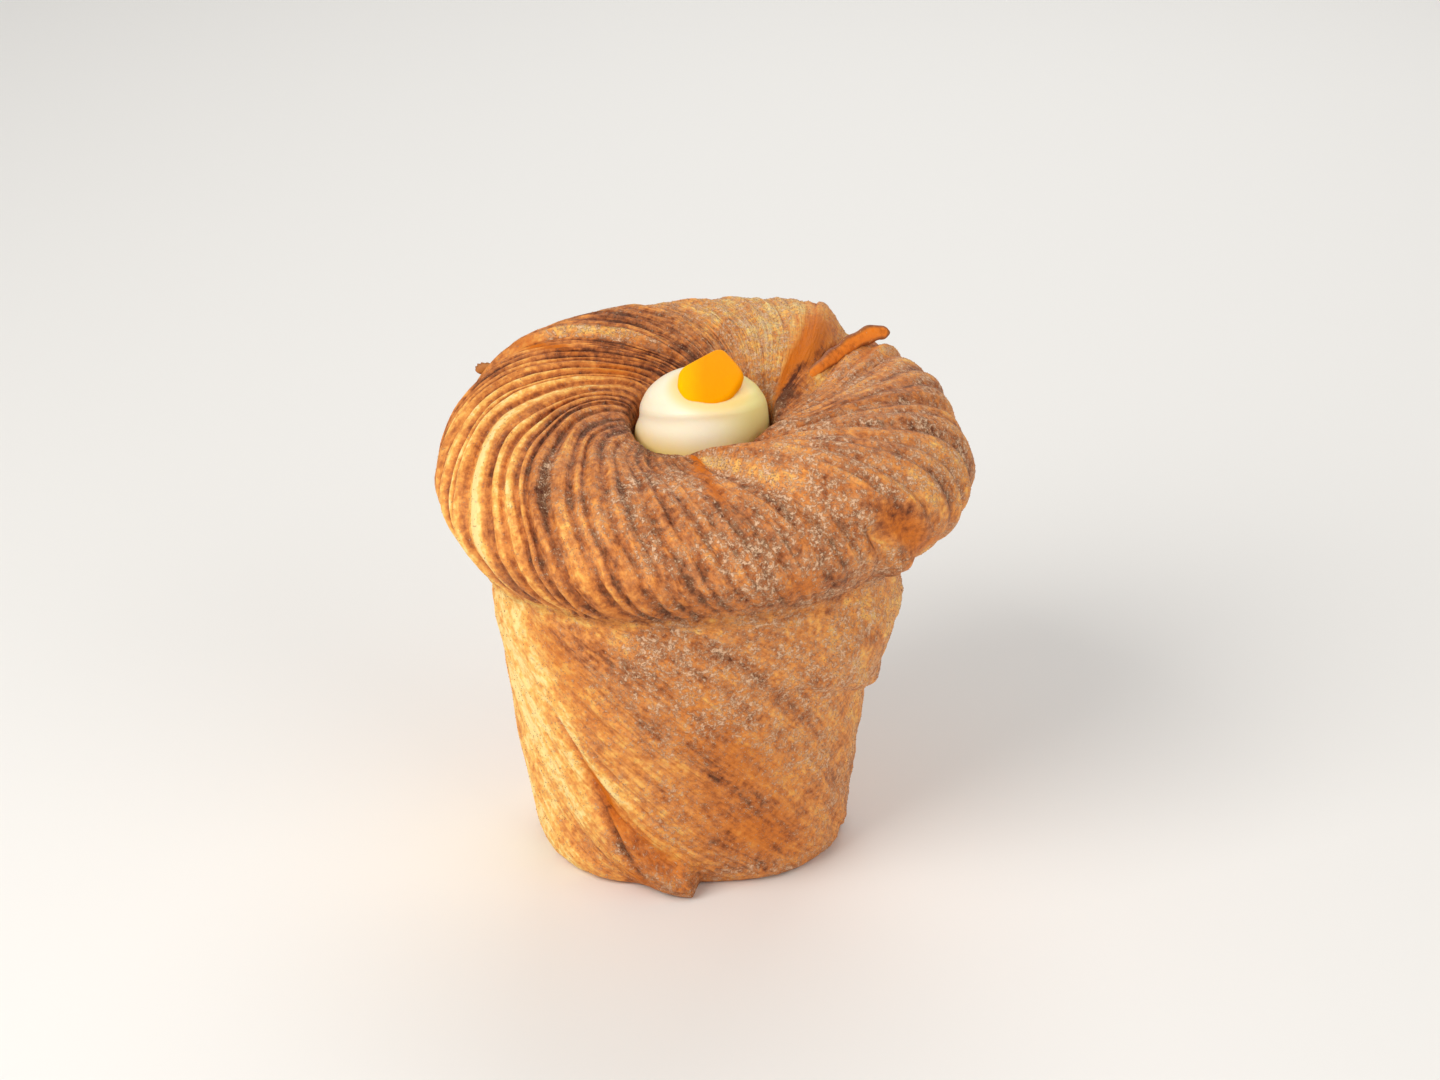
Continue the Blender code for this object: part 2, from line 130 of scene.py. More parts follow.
def linear(colour: Colour) -> tuple[float, float, float, float]:
    """A colour of 0 to 255 per channel, as shown on a screen, for a shader's socket."""
    shares = (channel / 255 for channel in colour)
    low, knee = 12.92, 0.04045
    red, green, blue = (s / low if s < knee else ((s + 0.055) / 1.055) ** 2.4 for s in shares)
    return red, green, blue, 1.0


# --- The dough's form ---


@dataclass(frozen=True)
class Ring:
    """A ring of the skin.

    Radii and heights are in mm at eight points from the right side on, counter-clockwise from
    above. Turns are the degrees that the lamination lines have turned here, against where they
    meet the rim. Relief and lap are how much shows of the laminations and of the turns' edges.
    """

    radius: Row
    height: Row
    turn: Row
    relief: float
    lap: float


@dataclass(frozen=True)
class Turn:
    """One of the turns of dough on the crown, by the line that it starts at.

    It stands first mm proud there and last mm at its end, and starts to climb on to the next
    turn early degrees before its end by the well. Its laminations have widths in degrees, and
    depths in mm from the first one to the last.
    """

    start: float
    first: float
    last: float
    early: float
    depth: Pair
    widths: Row


@dataclass(frozen=True)
class Tail:
    """The dough's outer end: a strip that lies out on the ground and is cut off upright.

    Line, width, edge and end are in degrees, reach and heights in mm. A larger sweep draws it in
    closer to the ground.
    """

    line: float = 186.0
    width: float = 26.0
    edge: float = 1.5
    end: float = 267.5
    reach: float = 4.6
    height: float = 30.0
    end_height: float = 10.0
    sweep: float = 1.6


@dataclass(frozen=True)
class Hollow:
    """The recess under the lapping edge, where it meets the rim on the right side.

    Its width is in degrees, its height in rings and its depth in mm; flat is the share of it
    that is sunk in full.
    """

    line: float = 321.0
    half_width: float = 8.0
    place: float = 9.7
    half_height: float = 1.5
    depth: float = 2.4
    flat: float = 0.25


@dataclass(frozen=True)
class Roll:
    """The lapping turn's lower end, which bulges under the crown on the right side.

    Centre and half width are in degrees, the rest in mm: its lower edge is lowest at the centre
    and climbs to the front.
    """

    centre: float = -8.0
    half_width: float = 62.0
    reach: float = 2.2
    lowest: float = 26.5
    climb: float = 13.0
    edge: float = 2.2
    fades: Pair = (40.0, 50.0)


WELL_RADIUS = 10.95
# The numbers of the rings at the crease under the crown and at the foot.
CREASE, FOOT = 13, 20
# How many points a round ring has, and how far the lines have turned at the well's lip.
ALL_ROUND = 8
LIP_TURN = (-69, -69, -66, -64, -64, -66, -70, -72, -70, -60, -58, -68)
RINGS = (
    Ring((7.6,) * ALL_ROUND, (60.0,) * ALL_ROUND, tuple(t - 10 for t in LIP_TURN), 0.0, 0.0),
    Ring((10.0,) * ALL_ROUND, (61.0,) * ALL_ROUND, tuple(t - 8 for t in LIP_TURN), 0.0, 0.0),
    Ring(
        (WELL_RADIUS,) * ALL_ROUND,
        (66.8, 67.0, 67.0, 67.0, 66.8, 66.0, 65.0, 66.0),
        tuple(t - 4 for t in LIP_TURN), 0.0, 0.0,
    ),
    Ring((11.3,) * ALL_ROUND, (72.6, 72.0, 72.2, 72.0, 71.2, 69.7, 68.9, 69.6), LIP_TURN, 0.1, 0.1),
    Ring(
        (13.6,) * ALL_ROUND,
        (73.9, 74.2, 74.6, 74.0, 73.0, 71.4, 70.5, 71.3),
        (-59, -59, -55, -52, -52, -56, -64, -68, -66, -48, -44, -58), 0.35, 0.4,
    ),
    Ring(
        (18.0,) * ALL_ROUND,
        (74.8, 75.8, 76.4, 75.6, 74.4, 72.6, 71.6, 72.8),
        (-42, -42, -40, -38, -38, -42, -50, -54, -54, -38, -32, -42), 0.7, 0.9,
    ),
    Ring(
        (24.0,) * ALL_ROUND,
        (75.4, 76.8, 77.4, 76.6, 75.2, 73.4, 72.4, 73.8),
        (-26, -26, -25, -25, -26, -31, -36, -38, -33, -23, -20, -26), 0.9, 1.0,
    ),
    Ring(
        (30.0,) * ALL_ROUND,
        (74.8, 76.8, 77.2, 76.2, 74.6, 72.6, 71.4, 73.0),
        (-15, -15, -15, -15, -17, -21, -25, -26, -21, -14, -12, -15), 1.0, 1.0,
    ),
    Ring(
        (35.6, 36.8, 35.4, 35.0, 34.8, 35.2, 34.8, 35.0),
        (73.2, 75.8, 74.2, 74.0, 72.4, 69.8, 68.4, 70.0),
        (-7, -7, -7, -7, -9, -12, -14, -14, -12, -8, -6, -7), 1.05, 1.0,
    ),
    Ring(
        (39.8, 41.8, 39.6, 39.2, 38.8, 38.8, 37.8, 38.4),
        (69.6, 71.4, 69.6, 69.0, 67.8, 65.4, 64.6, 65.8),
        (-2.5, -2.5, -2.5, -2.5, -3, -4, -5, -5, -4, -3, -2.5, -2.5), 1.05, 1.0,
    ),
    Ring(
        (41.6, 42.4, 41.4, 40.6, 40.3, 40.0, 39.0, 39.2),
        (63.0, 64.5, 63.5, 62.8, 61.6, 60.2, 60.4, 61.4),
        (0,), 1.0, 0.9,
    ),
    Ring(
        (38.6, 39.6, 39.4, 37.8, 36.8, 37.8, 37.6, 36.8),
        (58.0, 58.8, 57.0, 55.6, 54.4, 55.2, 56.6, 57.0),
        (3,), 0.9, 0.8,
    ),
    Ring(
        (34.6, 35.6, 35.4, 34.2, 33.4, 34.8, 35.0, 33.6),
        (54.8, 55.0, 53.0, 50.4, 48.6, 52.0, 54.0, 53.8),
        (6,), 0.5, 0.4,
    ),
    Ring(
        (32.0, 32.0, 31.6, 31.8, 32.3, 33.3, 33.4, 31.8),
        (51.8, 51.8, 50.0, 47.0, 45.0, 50.0, 52.2, 51.6),
        (8,), 0.2, 0.1,
    ),
    Ring(
        (31.6, 31.4, 31.0, 31.6, 32.2, 33.0, 32.8, 31.4),
        (45.4, 46.5, 46.0, 43.6, 41.0, 45.0, 47.4, 46.8),
        (12,), 0.22, 0.0,
    ),
    Ring((27.4, 28.6, 29.8, 30.4, 30.8, 30.7, 30.0, 28.4), (32.0,) * ALL_ROUND, (30,), 0.25, 0.0),
    Ring((26.2, 27.0, 28.0, 28.8, 29.4, 28.8, 27.4, 26.2), (21.0,) * ALL_ROUND, (46,), 0.25, 0.0),
    Ring((24.8, 25.4, 26.4, 27.0, 27.6, 27.2, 25.2, 24.6), (10.0,) * ALL_ROUND, (63,), 0.22, 0.0),
    Ring((24.2, 24.6, 25.0, 25.8, 26.6, 26.4, 22.6, 23.4), (3.6,) * ALL_ROUND, (75,), 0.15, 0.0),
    Ring((23.2, 23.4, 23.6, 24.4, 25.4, 25.0, 20.6, 22.4), (0.8,) * ALL_ROUND, (80,), 0.1, 0.0),
    Ring((21.6, 21.8, 22.0, 22.8, 23.8, 23.4, 19.2, 21.0), (0.0,) * ALL_ROUND, (82,), 0.0, 0.0),
)
TURNS = (
    Turn(-38, 3.2, -0.6, 0, (1.2, 1.1), (7, 9, 6.5, 8, 10, 7.5, 9.5, 8, 10.5, 7, 9)),
    Turn(66, 3.6, 1.8, 0, (0.5, 0.7), (9, 6, 8, 5.5, 7, 8.5, 6, 7.5, 9, 6.4, 7, 7.5)),
    Turn(
        155, 0.0, -0.8, 12, (1.9, 0.8),
        (
            3.5, 4, 3.5, 4.5, 4, 4, 4.5, 9, 7.5, 3.5, 7.5, 11.5, 4.5, 6.5, 3, 6,
            8, 3.5, 6.5, 4.5, 6, 3.5, 6, 4, 3.5, 5.5, 3, 5, 5, 5, 5,
        ),
    ),
)


@dataclass(frozen=True)
class DoughForm:
    """The dough's twisted skin, by places down its rings and lamination lines round its rim."""

    rings: tuple[Ring, ...] = RINGS
    turns: tuple[Turn, ...] = TURNS
    tail: Tail = Tail()
    hollow: Hollow = Hollow()
    roll: Roll = Roll()
    well_centre: Pair = (1.0, 0.3)
    well_centre_fades: Pair = (14.0, 34.0)
    early_fades: Pair = (7.5, 9.5)
    tail_side: float = 90.0
    body_fades: Pair = (CREASE - 1, CREASE + 1)
    rows_apart: float = 0.02

    def down(self, place: np.ndarray, values: np.ndarray) -> np.ndarray:
        """Curve through one value for each ring.

        Args:
            place: Places on the rings, as ring numbers with fractions.
            values: The rings' values, first axis one for each ring.

        Returns:
            The curve at those places.
        """
        low = np.clip(np.floor(place).astype(int), 0, FOOT - 1)
        whole = np.broadcast_to(values, (len(self.rings), *np.shape(place)))
        points = (
            np.take_along_axis(whole, np.clip(low + k, 0, FOOT)[None], axis=0)[0]
            for k in (-1, 0, 1, 2)
        )
        return spline(*points, place - low)

    def each_ring(self, name: str, place: np.ndarray) -> np.ndarray:
        """One of the rings' plain numbers at places on the rings."""
        numbers = np.array([getattr(ring, name) for ring in self.rings])
        return self.down(place, numbers.reshape(-1, *[1] * np.ndim(place)))

    def round_the_skin(self, name: str, place: np.ndarray, angle: np.ndarray) -> np.ndarray:
        """One of the rings' closed curves at places on the rings and angles in radians."""
        curves = np.stack([around(getattr(ring, name), angle) for ring in self.rings])
        return self.down(place, curves)

    def outline(self, place: np.ndarray, angle: np.ndarray) -> tuple[np.ndarray, np.ndarray]:
        """Radius and height of the skin without relief."""
        radius = self.round_the_skin("radius", place, angle)
        return radius, self.round_the_skin("height", place, angle)

    def line_angle(self, place: np.ndarray, line: np.ndarray) -> np.ndarray:
        """Angles round the axis, in radians, where lamination lines pass places on the rings."""
        return np.radians(line + self.round_the_skin("turn", place, np.radians(line)))

    def tail_rise(self, angle: np.ndarray, line: np.ndarray, height: np.ndarray) -> np.ndarray:
        """How far the tail stands off the body, in mm.

        Args:
            angle: Angles round the axis, in radians.
            line: Lamination lines, in degrees.
            height: Heights above the ground, in mm.

        Returns:
            Most at the foot, and sharp along the tail's edge and end.
        """
        tail = self.tail
        across = away_from(line, tail.line)
        past_end = away_from(np.degrees(angle), tail.end)
        strip = smooth(across, -tail.width, 0) * (1 - smooth(past_end, 0, tail.edge))
        strip = np.where(np.abs(across) < self.tail_side, strip, 0)
        top = tail.height + (tail.end_height - tail.height) * smooth(across, 0, tail.edge)
        return tail.reach * strip * (1 - smooth(height, 0, top)) ** tail.sweep

    def hollow_drop(self, line: np.ndarray, place: np.ndarray) -> np.ndarray:
        """How deep the recess under the lapping edge is sunk, in mm."""
        across = away_from(line, self.hollow.line) / self.hollow.half_width
        down = (place - self.hollow.place) / self.hollow.half_height
        return self.hollow.depth * (1 - smooth(np.hypot(across, down), self.hollow.flat, 1))

    def roll_rise(self, angle: np.ndarray, height: np.ndarray) -> np.ndarray:
        """How far the roll under the crown stands off the body, in mm.

        Args:
            angle: Angles round the axis, in radians.
            height: Heights above the ground, in mm.

        Returns:
            The rise; the roll's lower edge climbs to the front.
        """
        roll = self.roll
        across = away_from(np.degrees(angle), roll.centre)
        low = roll.lowest + roll.climb * np.clip(-across / roll.half_width, 0, 1)
        band = smooth(height, low, low + roll.edge) * (1 - smooth(height, *roll.fades))
        ends = 1 - smooth(np.abs(across), roll.half_width / 2, roll.half_width)
        return roll.reach * band * ends

    def turns_with_next(self) -> Iterable[tuple[Turn, Turn]]:
        """Each turn of dough with the one that it laps."""
        return zip(self.turns, self.turns[1:] + self.turns[:1])

    def lap_rise(self, place: np.ndarray, line: np.ndarray) -> np.ndarray:
        """How proud the dough stands where one turn laps over the next, in mm.

        Args:
            place: Places on the rings.
            line: Lamination lines, in degrees.

        Returns:
            The rise, with the climbs of the turns' edges.
        """
        rise = np.zeros(np.broadcast(place, line).shape)
        for turn, after in self.turns_with_next():
            past = (line - turn.start) % 360
            span, whole = sum(turn.widths), (after.start - turn.start) % 360
            level = turn.first + (turn.last - turn.first) * np.minimum(past / span, 1)
            climb_from = span - turn.early * (1 - smooth(place, *self.early_fades))
            climbed = level + (after.first - level) * smooth(past, climb_from, whole)
            rise = np.where(past < whole, climbed, rise)
        return rise * self.each_ring("lap", place)

    def skin(self, place: np.ndarray, line: np.ndarray) -> tuple[np.ndarray, np.ndarray]:
        """Points on the skin, without its laminations' relief.

        Args:
            place: Places on the rings.
            line: Lamination lines, in degrees.

        Returns:
            The points in mm, and the directions that face outwards there.
        """
        angle = self.line_angle(place, line)
        before = self.outline(place - self.rows_apart, angle)
        after = self.outline(place + self.rows_apart, angle)
        run, drop = after[0] - before[0], after[1] - before[1]
        length = np.hypot(run, drop)
        out_radius, out_height = -drop / length, run / length
        rise = self.lap_rise(place, line) - self.hollow_drop(line, place)
        radius, height = self.outline(place, angle)
        swell = self.tail_rise(angle, line, height) + self.roll_rise(angle, height)
        swell = swell * smooth(place, *self.body_fades)
        radius = radius + rise * out_radius + swell
        height = np.maximum(height + rise * out_height, 0)
        off_centre = 1 - smooth(radius, *self.well_centre_fades)
        x = radius * np.cos(angle) + off_centre * self.well_centre[0]
        y = radius * np.sin(angle) + off_centre * self.well_centre[1]
        outward = (out_radius * np.cos(angle), out_radius * np.sin(angle), out_height)
        return np.stack((x, y, height), -1), np.stack(outward, -1)


# --- Node trees ---


class NodeWriter:
    """Writes a node tree, node by node."""

    def __init__(self, tree: bpy.types.NodeTree) -> None:
        """Take the tree to write into."""
        self.tree = tree

    def add(self, kind: str, inputs: dict[Any, Any] | None = None, **settings: Any) -> Any:
        """Add a node.

        Args:
            kind: The node's type.
            inputs: Values or sockets for its inputs, by name or number.
            **settings: Its other properties.

        Returns:
            The node.
        """
        node = self.tree.nodes.new(kind)
        for name, value in settings.items():
            setattr(node, name, value)
        for key, value in (inputs or {}).items():
            self.plug(node.inputs[key], value)
        return node

    def plug(self, socket: Any, value: Any) -> None:
        """Link a socket to an output, or give it a plain value."""
        if isinstance(value, bpy.types.NodeSocket):
            self.tree.links.new(value, socket)
        else:
            socket.default_value = value

    def math(self, operation: str, *values: Any, clamp: bool = False) -> Any:
        """Add a Math node and return its output."""
        inputs = dict(enumerate(values))
        return self.add("ShaderNodeMath", inputs, operation=operation, use_clamp=clamp).outputs[0]

    def total(self, *values: Any) -> Any:
        """Add outputs and numbers up."""
        return reduce(partial(self.math, "ADD"), values)

    def product(self, *values: Any) -> Any:
        """Multiply outputs and numbers together."""
        return reduce(partial(self.math, "MULTIPLY"), values)

    def swing(self, value: Any, amount: Any) -> Any:
        """A value from 0 to 1 as a swing about nothing, from -amount to amount."""
        return self.product(self.math("MULTIPLY_ADD", value, 2.0, -1.0), amount)

    def curve(self, value: Any, points: Sequence[Pair]) -> Any:
        """Read a curve drawn through points.

        Args:
            value: Where to read it, from 0 to 1.
            points: Its points, from 0 to 1 both ways, in rising order.

        Returns:
            The output with the curve's height.
        """
        node = self.add("ShaderNodeFloatCurve", {"Value": value})
        drawn = node.mapping.curves[0].points
        drawn[0].location, drawn[1].location = points[0], points[-1]
        for point in points[1:-1]:
            drawn.new(*point)
        node.mapping.update()
        return node.outputs[0]

    def climb(self, value: Any, low: Any, high: Any) -> Any:
        """An even climb from 0 at low to 1 at high."""
        inputs = {"Value": value, "From Min": low, "From Max": high}
        node = self.add("ShaderNodeMapRange", inputs, interpolation_type="SMOOTHSTEP")
        return node.outputs["Result"]

    def mix(self, share: Any, first: Any, second: Any) -> Any:
        """Mix two colours.

        Args:
            share: How much of the second.
            first: The first colour.
            second: The second colour.

        Returns:
            The output with the mixed colour.
        """
        inputs = {0: share, 6: first, 7: second}
        return self.add("ShaderNodeMix", inputs, data_type="RGBA").outputs[2]

    def noise(
        self, vector: Any, scale: Any, detail: float, seed: Any, rough: float = 0.5
    ) -> Any:
        """Noise from 0 to 1.

        Args:
            vector: Where it is read.
            scale: How fine it is.
            detail: How many finer noises are added.
            seed: Which noise of many.
            rough: How strong the finer ones are.

        Returns:
            The output with its value.
        """
        inputs = {
            "Vector": vector, "W": seed, "Scale": scale, "Detail": detail, "Roughness": rough,
        }
        return self.add("ShaderNodeTexNoise", inputs, noise_dimensions="4D").outputs[0]

    def ramp(self, value: Any, stops: Sequence[tuple[float, Colour]]) -> Any:
        """Colour by a value.

        Args:
            value: From 0 to 1.
            stops: Places and colours, in rising order.

        Returns:
            The output with the colour.
        """
        node = self.add("ShaderNodeValToRGB", {0: value})
        elements = node.color_ramp.elements
        while len(elements) < len(stops):
            elements.new(1.0)
        for element, (place, colour) in zip(elements, stops):
            element.position = place
            element.color = linear(colour)
        return node.outputs[0]


class GroupWriter(NodeWriter):
    """Writes a node group with named inputs and outputs."""

    KIND = "ShaderNodeTree"

    def __init__(self, name: str) -> None:
        """Make the group."""
        super().__init__(bpy.data.node_groups.new(name, self.KIND))
        self.start = self.add("NodeGroupInput")
        self.end = self.add("NodeGroupOutput")

    def take(self, name: str, kind: str = "Float", default: Any = None) -> Any:
        """Add an input.

        Args:
            name: The input's name.
            kind: Its type.
            default: Its value, unless it is linked.

        Returns:
            The socket to link from.
        """
        made = self.tree.interface.new_socket(
            name, in_out="INPUT", socket_type=f"NodeSocket{kind}"
        )
        if default is not None:
            made.default_value = default
        return self.start.outputs[name]

    def give(self, name: str, value: Any, kind: str = "Float") -> None:
        """Add an output and link it."""
        self.tree.interface.new_socket(name, in_out="OUTPUT", socket_type=f"NodeSocket{kind}")
        self.plug(self.end.inputs[name], value)


class ShapeWriter(GroupWriter):
    """Writes a Geometry Nodes tree, and makes plain meshes with it."""

    KIND = "GeometryNodeTree"

    def __init__(self, name: str) -> None:
        """Make the tree with its geometry going in and out."""
        super().__init__(name)
        self.geometry = self.take("Geometry", "Geometry")

    def attribute(self, name: str, kind: str = "FLOAT") -> Any:
        """Read a named attribute."""
        node = self.add("GeometryNodeInputNamedAttribute", {"Name": name}, data_type=kind)
        return node.outputs["Attribute"]

    def store(self, geometry: Any, name: str, value: Any) -> Any:
        """Keep a value on the geometry's points under a name."""
        inputs = {"Geometry": geometry, "Name": name, "Value": value}
        kind = "GeometryNodeStoreNamedAttribute"
        return self.add(kind, inputs, data_type="FLOAT", domain="POINT").outputs[0]

    def close(self, geometry: Any) -> None:
        """End the tree: instances made real, then its material set."""
        material = self.take("Material", "Material")
        real = self.add("GeometryNodeRealizeInstances", {0: geometry}).outputs[0]
        dressed = self.add("GeometryNodeSetMaterial", {"Geometry": real, "Material": material})
        self.give("Geometry", dressed.outputs[0], "Geometry")

    def make(self, source: bpy.types.Object, values: dict[str, Any]) -> bpy.types.Mesh:
        """Run the tree on an object.

        Args:
            source: The object whose mesh goes in. It is left as it was.
            values: The tree's inputs, by name.

        Returns:
            A plain mesh.
        """
        change = source.modifiers.new(self.tree.name, "NODES")
        change.node_group = self.tree
        for socket in self.tree.interface.items_tree:
            if socket.in_out == "INPUT" and socket.name in values:
                change[socket.identifier] = values[socket.name]
        graph = bpy.context.evaluated_depsgraph_get()
        made = bpy.data.meshes.new_from_object(
            source.evaluated_get(graph), preserve_all_data_layers=True, depsgraph=graph
        )
        source.modifiers.remove(change)
        return made


# --- Finishes ---


class SurfaceWriter(NodeWriter):
    """Writes a material round one Principled shader."""

    def __init__(self, name: str, **plain: Any) -> None:
        """Make the material.

        Args:
            name: Its name.
            **plain: Values that are the same all over, by the shader's input with _ for a space.
        """
        self.material = bpy.data.materials.new(name)
        self.material.use_nodes = True
        super().__init__(self.material.node_tree)
        self.shader = self.tree.nodes["Principled BSDF"]
        for key, value in plain.items():
            self.shader.inputs[key.replace("_", " ")].default_value = value

    def where(self) -> Any:
        """Object coordinates."""
        return self.add("ShaderNodeTexCoord").outputs["Object"]

    def attribute(self, name: str, output: str = "Fac") -> Any:
        """Read a named attribute of the mesh."""
        return self.add("ShaderNodeAttribute", attribute_name=name).outputs[output]

    def group(self, tree: bpy.types.NodeTree, inputs: dict[str, Any]) -> Any:
        """Place a shared group and return its outputs."""
        node = self.tree.nodes.new("ShaderNodeGroup")
        node.node_tree = tree
        for key, value in inputs.items():
            self.plug(node.inputs[key], value)
        return node.outputs

    def set(self, **links: Any) -> None:
        """Link the shader's inputs, by name with _ for a space."""
        for key, value in links.items():
            self.plug(self.shader.inputs[key.replace("_", " ")], value)

    def bump(self, height: Any, distance: float) -> Any:
        """Turn a height from 0 to 1 into a normal.

        Args:
            height: The height.
            distance: What a height of 1 stands for, in metres.

        Returns:
            The output with the normal.
        """
        inputs = {"Height": height, "Distance": distance}
        return self.add("ShaderNodeBump", inputs).outputs["Normal"]


@dataclass(frozen=True)
class BakedDoughEffect:
    """Colour of baked dough: from pale where it is thin or new to dark where it browned."""

    stops: tuple[tuple[float, Colour], ...] = (
        (0.0, (255, 226, 150)),
        (0.2, (250, 192, 97)),
        (0.4, (231, 150, 71)),
        (0.58, (203, 121, 56)),
        (0.78, (154, 82, 38)),
        (1.0, (84, 34, 8)),
    )
    blotch_scale: float = 170.0
    blotch_span: Pair = (0.25, 0.75)
    fleck_scale: float = 900.0
    fleck_span: Pair = (0.3, 0.7)

    def tree(self) -> bpy.types.NodeTree:
        """Write the shader group.

        Returns:
            The group.
        """
        group = GroupWriter("baked_dough")
        where = group.take("Where", "Vector")
        bake = group.take("Bake", default=0.5)
        mottle = group.take("Mottle", default=0.12)
        blotch = group.noise(where, self.blotch_scale, detail=3.0, seed=3.0, rough=0.6)
        fleck = group.noise(where, self.fleck_scale, detail=3.0, seed=8.0, rough=0.65)
        tone = group.total(
            bake,
            group.swing(group.climb(blotch, *self.blotch_span), mottle),
            group.swing(group.climb(fleck, *self.fleck_span), mottle),
        )
        group.give("Color", group.ramp(tone, self.stops), "Color")
        group.give("Tone", tone)
        return group.tree


@dataclass(frozen=True)
class SugarDustEffect:
    """Fine sugar that clings to a crust, as specks and a thin bloom.

    Clumping is the share of it that lies in clumps. Specks show where the noise passes a level,
    which is none_from where there is no sugar and lower by reach where it lies thick.
    """

    grain_scale: float = 1900.0
    clump_scale: float = 600.0
    clump_span: Pair = (0.34, 0.66)
    clumping: float = 0.75
    none_from: float = 0.66
    reach: float = 0.28
    softness: float = 0.13

    def tree(self) -> bpy.types.NodeTree:
        """Write the shader group.

        Returns:
            The group.
        """
        group = GroupWriter("sugar_dust")
        where = group.take("Where", "Vector")
        amount = group.take("Amount", default=0.5)
        grain = group.take("Grain", default=self.grain_scale)
        clump = group.noise(where, self.clump_scale, detail=4.0, seed=5.0, rough=0.85)
        clump = group.climb(clump, *self.clump_span)
        fleck = group.noise(where, grain, detail=2.0, seed=15.0, rough=0.8)
        share = group.math("MULTIPLY_ADD", clump, self.clumping, 1 - self.clumping)
        share = group.product(amount, share)
        level = group.math("MULTIPLY_ADD", share, -self.reach, self.none_from)
        speck = group.climb(fleck, level, group.math("ADD", level, self.softness))
        group.give("Speck", speck)
        group.give("Bloom", group.product(clump, amount))
        return group.tree


@dataclass(frozen=True)
class SharedEffects:
    """Shader groups that more than one finish uses."""

    baked_dough: bpy.types.NodeTree
    sugar_dust: bpy.types.NodeTree


@dataclass(frozen=True)
class CrustFinish:
    """The sugared, browned skin of the laminated dough.

    Each span gives where an effect starts to show and where it shows in full.
    """

    roughness: float = 0.6
    specular: float = 0.2
    # Painted shade on the ribs' flanks away from the light and in their valleys; painted highlight
    # on their crests.
    painted_rib_shade: float = 0.2
    crest_span: Pair = (0.4, 0.95)
    painted_crest_highlight: float = 0.2
    pale_span: Pair = (0.6, 0.9)
    pale_lines: float = 0.12
    dark_span: Pair = (0.4, 0.1)
    dark_lines: float = 0.14
    strand_scale: float = 1.15
    strand_span: Pair = (0.3, 0.7)
    strand_browning: float = 0.08
    patch_browning: float = 0.12
    mottle: float = 0.17
    orange: Colour = (206, 108, 8)
    orange_span: Pair = (0.45, 1.1)
    sugar: Colour = (236, 198, 162)
    least_dusting: float = 0.42
    bloom: Colour = (221, 168, 121)
    bloom_share: float = 0.5
    speck_share: float = 0.7
    pore_scale: float = 900.0
    speck_height: float = 0.5
    strand_height: float = 0.6
    bump_distance: float = 0.0003

    def tone(self, surface: SurfaceWriter, lines: Any, strand: Any) -> Any:
        """How baked the dough is, with its laminations' painted shade and painted highlight, its
        fine layers and its patches.

        Args:
            surface: The material's writer.
            lines: How strongly the fine layers show.
            strand: The fine strands, from 0 to 1.

        Returns:
            The output with the tone.
        """
        ribs = surface.math("MAXIMUM", surface.attribute("ribs"), 0.0)
        layer = surface.attribute("layer")
        # Painted highlight on the crests, and painted shade on the far flanks and in the valleys.
        ridge = surface.climb(surface.attribute("crest"), *self.crest_span)
        by_rib = surface.total(
            surface.product(surface.attribute("shade"), self.painted_rib_shade),
            surface.product(ridge, -self.painted_crest_highlight),
        )
        by_line = surface.total(
            surface.product(surface.climb(layer, *self.pale_span), -self.pale_lines),
            surface.product(surface.climb(layer, *self.dark_span), self.dark_lines),
            surface.swing(strand, -self.strand_browning),
        )
        # The bake attribute holds how baked the dough is, with painted shade and painted light.
        return surface.total(
            surface.attribute("bake"),
            surface.product(by_rib, ribs),
            surface.product(by_line, lines),
            surface.swing(surface.attribute("patches"), self.patch_browning),
        )

    def dusting(self, surface: SurfaceWriter, orange: Any) -> Any:
        """How much sugar there is: none where the dough tore open.

        Args:
            surface: The material's writer.
            orange: How much the dough's orange inside shows, from 0 to 1.

        Returns:
            The output with the amount, from 0 to 1.
        """
        thick = surface.math("ADD", surface.attribute("dusting"), self.least_dusting)
        thick = surface.product(thick, surface.attribute("sugar"))
        bare = surface.math("SUBTRACT", 1.0, orange)
        return surface.math("MULTIPLY", thick, bare, clamp=True)

    def material(self, effects: SharedEffects) -> bpy.types.Material:
        """Write the material.

        Args:
            effects: The shared shader groups.

        Returns:
            The material.
        """
        surface = SurfaceWriter(
            "crust", Roughness=self.roughness, Specular_IOR_Level=self.specular
        )
        where, lines = surface.where(), surface.attribute("lines")
        grain = surface.attribute("grain", "Vector")
        strand = surface.noise(grain, self.strand_scale, detail=2.0, seed=12.0, rough=0.6)
        strand = surface.climb(strand, *self.strand_span)
        tone = self.tone(surface, lines, strand)
        dough = surface.group(
            effects.baked_dough, {"Where": where, "Bake": tone, "Mottle": self.mottle}
        )
        orange = surface.math("MULTIPLY", surface.attribute("orange"), 1.0, clamp=True)
        amount = self.dusting(surface, orange)
        sugar = surface.group(effects.sugar_dust, {"Where": where, "Amount": amount})
        bloom = surface.product(sugar["Bloom"], self.bloom_share)
        colour = surface.mix(bloom, dough["Color"], linear(self.bloom))
        browned = surface.climb(dough["Tone"], *self.orange_span)
        colour = surface.mix(orange, colour, surface.mix(browned, linear(self.orange), colour))
        speck = surface.product(sugar["Speck"], self.speck_share)
        colour = surface.mix(speck, colour, linear(self.sugar))
        height = surface.total(
            surface.noise(where, self.pore_scale, detail=4.0, seed=2.0, rough=0.6),
            surface.product(sugar["Speck"], self.speck_height),
            surface.product(strand, lines, self.strand_height),
        )
        surface.set(Base_Color=colour, Normal=surface.bump(height, self.bump_distance))
        return surface.material


